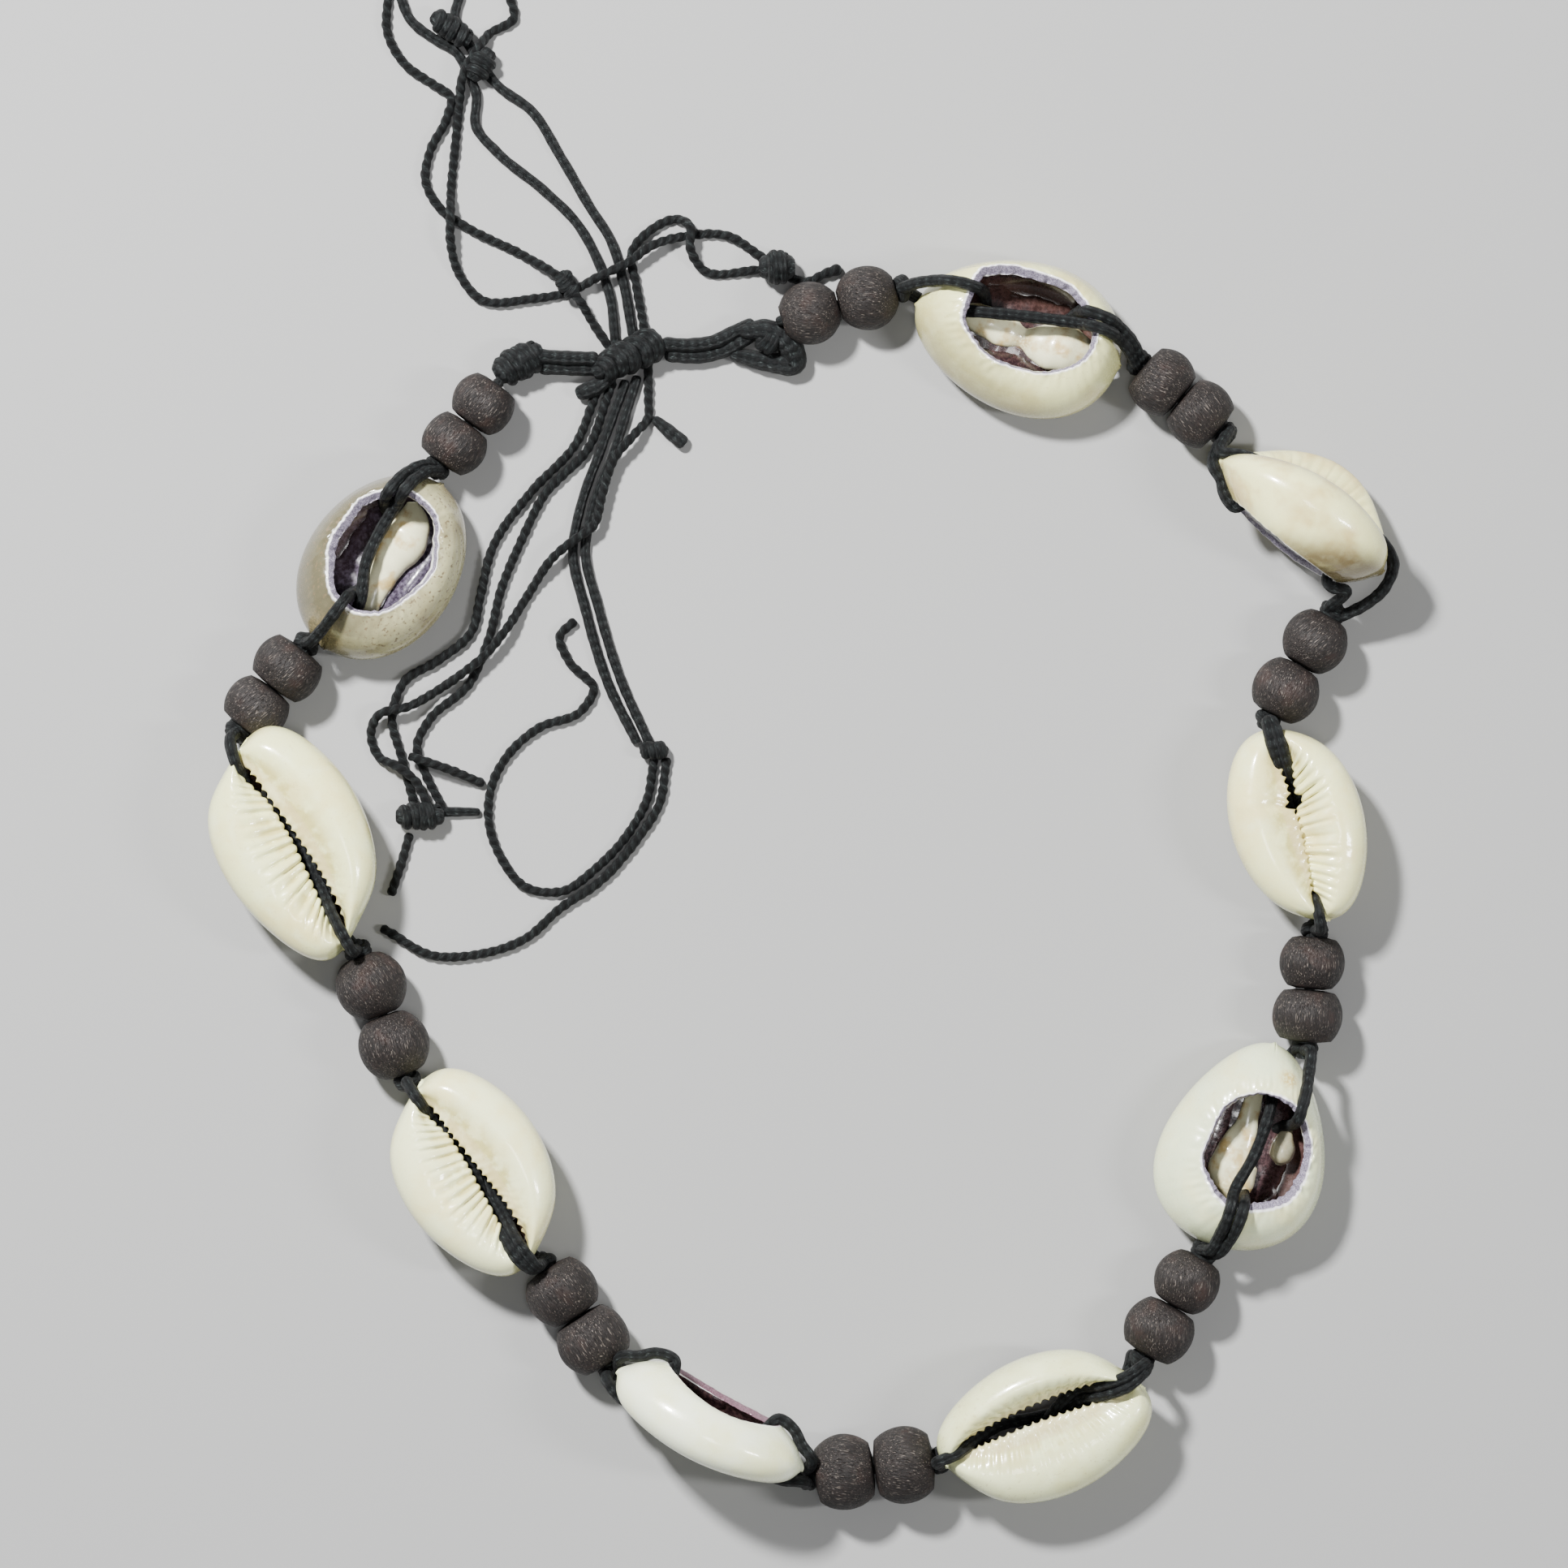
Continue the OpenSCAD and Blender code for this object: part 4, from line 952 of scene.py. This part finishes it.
def make_closure():
    barrel = coil(*BARREL, BARREL_D, BARREL_L + 0.4, 4, 1.35, tilt=0.35, seed=61)
    slide = coil(*SLIDE, SLIDE_D + 0.6, SLIDE_L, 5, 1.6, tilt=0.8, narrow=0.75, seed=62)
    nub = tube(NUB, NUB_D, braided, widths=[0.7, 1, 1], seed=63)
    bend = tube(RIGHT_BEND, LOBE_D, braided, widths=[0.7, 0.95, 1.05, 1, 0.8, 0.6], seed=64)
    wraps = coil(*RIGHT_WRAPS, LOBE_D + 0.9, 2.6, 1.5, 1.3, tilt=0.4, seed=65)
    cord_piece("barrel_knot_wraps", barrel, "barrel_knot")
    cord_piece("sliding_knot_wraps", slide, "sliding_knot")
    cord_piece("sliding_knot_cut_end", nub, "sliding_knot")
    cord_piece("right_knot_wraps", joined([bend, wraps]), "right_knot")
    for side, strands in (("left", LEFT_STRANDS), ("right", RIGHT_STRANDS)):
        for i, route in enumerate(strands):
            made = tube(route, CLOSURE_D, braided, seed=70 + i)
            cord_piece(f"closure_strand_{side}_{i + 1}", made, f"closure_cord_{side}")


# Materials

class Look:
    """A material and short ways to put nodes into it."""

    def __init__(self, name, **constants):
        self.material = bpy.data.materials.new(name)
        self.material.use_nodes = True
        self.tree = self.material.node_tree
        self.surface = self.tree.nodes["Principled BSDF"]
        for key, value in constants.items():
            self.surface.inputs[key.replace("_", " ").title().replace("Ior", "IOR")].default_value = value

    def put(self, socket, value):
        if isinstance(value, bpy.types.NodeSocket):
            self.tree.links.new(value, socket)
        else:
            socket.default_value = value

    def node(self, kind, output=0, inputs=(), **settings):
        made = self.tree.nodes.new("ShaderNode" + kind)
        for key, value in settings.items():
            setattr(made, key, value)
        for socket, value in dict(inputs).items():
            self.put(made.inputs[socket], value)
        return made.outputs[output]

    def value(self, name):
        return self.node("Attribute", 2, attribute_name=name)

    def place(self, name):
        return self.node("Attribute", 1, attribute_name=name)

    def math(self, operation, a, b=0.0):
        return self.node("Math", 0, {0: a, 1: b}, operation=operation)

    def times(self, a, b):
        return self.math("MULTIPLY", a, b)

    def axis(self, vector, i):
        return self.node("SeparateXYZ", i, {0: vector})

    def stretched(self, vector, scale):
        return self.node("Mapping", 0, {"Vector": vector, "Scale": scale})

    def noise(self, vector, scale, detail=3.0, roughness=0.55):
        inputs = {"Vector": vector, "Scale": scale, "Detail": detail, "Roughness": roughness}
        return self.node("TexNoise", 0, inputs)

    def ramp(self, value, low, high, to_low=0.0, to_high=1.0):
        inputs = {"Value": value, "From Min": low, "From Max": high, "To Min": to_low, "To Max": to_high}
        return self.node("MapRange", 0, inputs, interpolation_type="SMOOTHSTEP")

    def mix(self, factor, a, b, blend="MIX"):
        made = self.tree.nodes.new("ShaderNodeMix")
        made.data_type = "RGBA"
        made.blend_type = blend
        for socket, value in ((0, factor), (6, a), (7, b)):
            self.put(made.inputs[socket], (*value, 1) if isinstance(value, tuple) else value)
        return made.outputs[2]

    def finish(self, colour, roughness, height, strength, distance):
        self.put(self.surface.inputs["Base Color"], colour)
        self.put(self.surface.inputs["Roughness"], roughness)
        inputs = {"Height": height, "Strength": strength, "Distance": distance}
        self.put(self.surface.inputs["Normal"], self.node("Bump", 0, inputs))
        return self.material


# Each shell's enamel: [colour, margin colour, speckle, yellow stain by the lips]
ENAMEL = [
    [(0.80, 0.80, 0.39), (0.68, 0.62, 0.27), 0.25, 0.0],
    [(0.90, 0.885, 0.43), (0.64, 0.50, 0.20), 0.10, 0.2],
    [(0.90, 0.89, 0.44), (0.87, 0.78, 0.36), 0.05, 1.0],
    [(0.77, 0.85, 0.55), (0.80, 0.80, 0.44), 0.15, 0.0],
    [(0.82, 0.86, 0.49), (0.72, 0.72, 0.36), 0.30, 0.6],
    [(0.91, 0.96, 0.72), (0.86, 0.88, 0.52), 0.03, 0.0],
    [(0.90, 0.92, 0.53), (0.87, 0.81, 0.40), 0.08, 1.0],
    [(0.87, 0.885, 0.45), (0.82, 0.75, 0.34), 0.20, 1.0],
    [(0.50, 0.475, 0.27), (0.32, 0.27, 0.14), 1.20, 0.1],
]
# A side of a shell darkened by painted shade with a brown tint, on shell 9 also its own tan patina: [way
# towards it in the shell's own frame, where it starts and ends, how strong, colour, how pale the rest gets]
PAINTED_SHADES = {
    0: [(-0.4, -1, 0), 2, 9, 0.8, (0.27, 0.235, 0.10), 0.15],
    1: [(0.5, 0, 1), 6.7, 10.5, 0.92, (0.125, 0.088, 0.04), 0.15],
    8: [(-0.25, 1, 0), -5.5, 3.5, 0.95, (0.095, 0.084, 0.048), 0.02],
}
# Brown marks on a shell: [middle in its own frame, radius, strength, colour]
MARKS = {
    0: [[(0.7, -0.6, 4.6), 1.5, 0.8, (0.34, 0.21, 0.07)], [(-11, 1.5, 6), 4, 0.5, (0.62, 0.56, 0.20)]],
    3: [[(-8.8, 2.3, 8.4), 1.7, 0.9, (0.58, 0.40, 0.11)], [(5.5, -1, 5.2), 2.2, 0.6, (0.52, 0.38, 0.13)]],
    8: [[(-11, 1, 6.5), 4.5, 0.6, (0.36, 0.29, 0.14)]],
}
# The inner walls' dark and light colours
CHAMBER = {
    2: [(0.03, 0.013, 0.010), (0.10, 0.055, 0.040)],
    3: [(0.016, 0.007, 0.010), (0.085, 0.045, 0.050)],
    4: [(0.03, 0.013, 0.020), (0.11, 0.055, 0.065)],
    6: [(0.03, 0.014, 0.010), (0.11, 0.065, 0.045)],
    7: [(0.03, 0.014, 0.010), (0.11, 0.065, 0.045)],
    8: [(0.026, 0.018, 0.032), (0.12, 0.10, 0.145)],
}
BROWN = [(0.011, 0.005, 0.007), (0.055, 0.028, 0.028)]
# Specks: [where in the noise they start, dots, mottle], on most shells and on the speckled one
SPECKS = [0.63, (0.30, 0.20, 0.10), (0.42, 0.31, 0.18)]
DARK_SPECKS = [0.57, (0.18, 0.135, 0.075), (0.12, 0.095, 0.055)]
# The cut edge's dark and light grain, on most shells and on shell 6
LILAC = [(0.13, 0.105, 0.16), (0.38, 0.345, 0.43)]
PURPLE = [(0.10, 0.04, 0.06), (0.24, 0.13, 0.17)]
# What the shells share: pale patches, stains by the lips and between them, the chamber's floor, the
# rolled lip and its marks, the white line round the cut
PALE, YELLOW, OCHRE = (0.90, 0.94, 0.58), (0.54, 0.45, 0.13), (0.62, 0.48, 0.28)
FLOOR = (0.11, 0.055, 0.035)
BULB, BULB_MARKS, WHITE_LINE = (0.84, 0.82, 0.54), (0.60, 0.44, 0.18), (0.86, 0.85, 0.83)


def shell_look(k):
    base, margin, speckle, stain = ENAMEL[k]
    look = Look(f"cowrie_enamel_{k + 1}", coat_weight=0.7 if k != 8 else 0.4, coat_roughness=0.07)
    place = look.place("place")
    rim, inner, lips, roll = (look.value(name) for name in ZONES)
    soft = look.noise(place, 0.16, 3)
    broad = look.noise(place, 0.45, 4)
    fine = look.noise(place, 3.2, 5, 0.65)
    specks = look.noise(place, 2.2, 2, 0.5)
    colour = look.mix(look.ramp(soft, 0.42, 0.68), base, margin)
    paling = 0.5
    # Painted shade: one side of the shell darker and browner, on shell 9 also its own tan patina
    if k in PAINTED_SHADES:
        towards_it, start, end, strength, shade, paling = PAINTED_SHADES[k]
        offset = APART * k * towards_it[0]
        reach = look.node("VectorMath", 1, {0: place, 1: towards_it}, operation="DOT_PRODUCT")
        colour = look.mix(look.ramp(reach, start + offset, end + offset, 0, strength), colour, shade)
    colour = look.mix(look.ramp(broad, 0.45, 0.75, 0, paling), colour, PALE)
    first, dot, mottle = SPECKS if speckle < 1 else DARK_SPECKS
    colour = look.mix(look.ramp(specks, first, 0.70, 0, 0.75 * speckle), colour, dot)
    colour = look.mix(look.times(look.ramp(fine, 0.5, 0.75), 0.35 * speckle), colour, mottle)
    near = look.times(look.ramp(lips, 0.12, 0.8), look.ramp(broad, 0.38, 0.58))
    colour = look.mix(look.times(near, 0.75 * stain), colour, YELLOW)
    colour = look.mix(look.times(look.ramp(lips, 0.9, 1.0), 0.35), colour, OCHRE)
    # Inside: purple brown walls that pale downwards, and a white rolled lip
    depth = look.axis(place, 2)
    streaks = look.noise(look.stretched(place, (2.2, 2.2, 0.25)), 1.0, 4, 0.6)
    wall = look.mix(look.ramp(streaks, 0.35, 0.7), *CHAMBER.get(k, BROWN))
    wall = look.mix(look.ramp(depth, 4, 1.8, 0, 0.5), wall, FLOOR)
    colour = look.mix(look.ramp(inner, 0.45, 0.8), colour, wall)
    bulb = look.mix(look.ramp(broad, 0.45, 0.7), BULB, BULB_MARKS)
    white_roll = look.times(look.ramp(roll, 0.3, 0.75), look.ramp(inner, 0.8, 1))
    colour = look.mix(white_roll, colour, bulb)
    for middle, radius, strength, mark in MARKS.get(k, []):
        middle = (middle[0] + APART * k, *middle[1:])
        far = look.node("VectorMath", 1, {0: place, 1: middle}, operation="DISTANCE")
        blotch = look.times(look.ramp(far, radius, 0.3 * radius, 0, strength), look.ramp(fine, 0.3, 0.6))
        colour = look.mix(blotch, colour, mark)
    # The cut edge: a thin white line, then a grainy lilac band
    grain = look.noise(place, 6.5, 4, 0.75)
    cut = look.mix(look.ramp(grain, 0.42, 0.6), *(PURPLE if k == 5 else LILAC))
    colour = look.mix(look.ramp(rim, 0.05, 0.3), colour, WHITE_LINE)
    colour = look.mix(look.ramp(rim, 0.42, 0.62), colour, cut)
    gloss = look.ramp(fine, 0.3, 0.8, 0.2, 0.34)
    rough = look.math("MAXIMUM", gloss, look.times(look.ramp(rim, 0.3, 0.7), 0.7))
    chips = look.times(grain, look.ramp(rim, 0.3, 0.7, 0.02, 1))
    height = look.math("ADD", chips, look.times(fine, 0.05))
    return look.finish(colour, rough, height, 0.6, 0.0004)


# The beads' grain, for the darkest bead and the palest, dark and light; clouds, pores, scratches, painted
# shade at the ends
DARK_GRAIN = [(0.0044, 0.0031, 0.0028), (0.0070, 0.0052, 0.0047)]
LIGHT_GRAIN = [(0.0165, 0.0118, 0.0105), (0.0215, 0.0166, 0.015)]
CLOUD, PORES = (0.033, 0.0165, 0.0125), (0.006, 0.004, 0.004)
SCRATCH, END_SHADE = (0.15, 0.127, 0.108), (0.010, 0.007, 0.006)


def bead_look():
    look = Look("dark_wood", specular_ior_level=0.3)
    place, worn, tone = look.place("place"), look.value("worn"), look.value("tone")
    along = look.stretched(place, (0.55, 3.2, 3.2))
    fibres = look.noise(along, 1.1, 6, 0.7)
    pores = look.noise(look.stretched(place, (1.4, 7.5, 7.5)), 1.0, 3, 0.6)
    cloud = look.noise(place, 0.35, 3)
    scratch = look.noise(look.stretched(place, (1.1, 9, 9)), 0.9, 2, 0.5)
    dark = look.mix(tone, *DARK_GRAIN)
    light = look.mix(tone, *LIGHT_GRAIN)
    colour = look.mix(look.ramp(fibres, 0.35, 0.7), dark, light)
    colour = look.mix(look.ramp(cloud, 0.5, 0.75, 0, 0.6), colour, CLOUD)
    colour = look.mix(look.ramp(pores, 0.60, 0.70, 0, 0.8), colour, PORES)
    colour = look.mix(look.ramp(scratch, 0.61, 0.69, 0, 0.85), colour, SCRATCH)
    # Painted shade at the ends, where the beads meet each other and the knots
    colour = look.mix(look.times(worn, 0.35), colour, END_SHADE)
    rough = look.ramp(fibres, 0.3, 0.7, 0.62, 0.45)
    height = look.math("SUBTRACT", fibres, look.times(look.ramp(pores, 0.55, 0.7), 0.8))
    return look.finish(colour, rough, height, 0.55, 0.00035)


# The cords: painted shade between the plies, the crowns of the braid, of the twist, pale hairs with painted
# highlights on the crowns, dust
GAP_SHADE, BRAID, TWIST = (0.0004, 0.0005, 0.0007), (0.0055, 0.0070, 0.0074), (0.0038, 0.0046, 0.0050)
HAIRS_AND_GLINTS, DUST = (0.080, 0.097, 0.094), (0.060, 0.073, 0.071)


def cord_look(name, plaited):
    look = Look(name, sheen_weight=0.02, sheen_roughness=0.5, specular_ior_level=0.2)
    fibre, out = look.place("fibre"), look.value("out")
    angle = look.math("ARCTAN2", look.axis(fibre, 1), look.axis(fibre, 0))
    run = look.axis(fibre, 2)
    hairs = look.noise(look.stretched(fibre, (3.5, 3.5, 0.9)), 2.2, 4, 0.7)
    fuzz = look.noise(look.stretched(fibre, (2, 2, 3)), 3.0, 4, 0.75)
    if plaited:
        turns = look.times(angle, 4.0)
        rise = look.times(run, TAU / 2.2)
        one = look.math("SINE", look.math("ADD", turns, rise))
        other = look.math("SINE", look.math("SUBTRACT", turns, rise))
        weave = look.ramp(look.times(one, other), -0.8, 0.8)
        crown = look.math("ADD", look.times(weave, 0.65), look.times(out, 0.35))
    else:
        crown = look.ramp(out, 0.4, 0.95)
    # Painted shade in the gaps between the plies, the cord's own colour on the crowns
    colour = look.mix(crown, GAP_SHADE, BRAID if plaited else TWIST)
    # Pale hairs shown only on the crowns: real fibres with painted highlights
    light = look.times(look.ramp(hairs, 0.54, 0.66), look.ramp(crown, 0.4, 0.9))
    colour = look.mix(look.times(light, 0.8), colour, HAIRS_AND_GLINTS)
    colour = look.mix(look.ramp(fuzz, 0.62, 0.70, 0, 0.5), colour, DUST)
    rough = look.ramp(hairs, 0.3, 0.7, 0.62, 0.42)
    height = look.math("ADD", crown, look.times(hairs, 0.9))
    return look.finish(colour, rough, height, 0.9, 0.00026)


def floor_look():
    look = Look("pale_floor")
    place = look.node("TexCoord", 3)
    cloud = look.noise(place, 3.0, 2)
    colour = look.mix(cloud, (0.305, 0.305, 0.302), (0.33, 0.33, 0.327))
    return look.finish(colour, look.ramp(cloud, 0, 1, 0.75, 0.85), cloud, 0.02, 0.001)


# Floor and light

FLOOR_SIZE = 3
# [name, place in metres, size in metres, power in watts], each turned to the necklace's middle
LIGHTS = [
    ["key_light", (-0.26, 0.34, 0.55), (0.07, 0.07), 16],
    ["side_light", (0.45, -0.05, 0.45), (0.05, 0.16), 2.2],
    ["top_light", (0.04, -0.1, 1.1), (0.2, 0.2), 2.2],
]
SKY = {"Color": (0.93, 0.95, 1.0, 1), "Strength": 0.2}


def make_floor():
    half = FLOOR_SIZE / 2
    corners = [(-half, -half, 0), (half, -half, 0), (half, half, 0), (-half, half, 0)]
    mesh = bpy.data.meshes.new("floor")
    mesh.from_pydata(corners, [], [(0, 1, 2, 3)])
    mesh.materials.append(floor_look())
    floor = bpy.data.objects.new("floor", mesh)
    bpy.context.collection.objects.link(floor)


def make_light(name, place, size, power):
    data = bpy.data.lights.new(name, "AREA")
    data.shape = "RECTANGLE"
    data.size, data.size_y = size
    data.energy = power
    light = bpy.data.objects.new(name, data)
    light.location = place
    light.rotation_euler = (-Vector(place)).to_track_quat("-Z", "Y").to_euler()
    bpy.context.collection.objects.link(light)


def make_sky():
    world = bpy.data.worlds.new("studio")
    world.use_nodes = True
    for key, value in SKY.items():
        world.node_tree.nodes["Background"].inputs[key].default_value = value
    bpy.context.scene.world = world


SHELL_LOOK = [shell_look(k) for k in range(len(SHELLS))]
BEAD_LOOK = bead_look()
CORD_LOOK = {braided: cord_look("waxed_braid", True), twisted: cord_look("twisted_tie", False)}

make_camera()
make_ties()
for k in range(len(SHELLS)):
    make_shell(k)
    make_shell_strands(k)
for k in range(len(PAIRS)):
    make_bead(k, 0)
    make_bead(k, 1)
    make_thread(k)
make_closure()
make_floor()
for light in LIGHTS:
    make_light(*light)
make_sky()
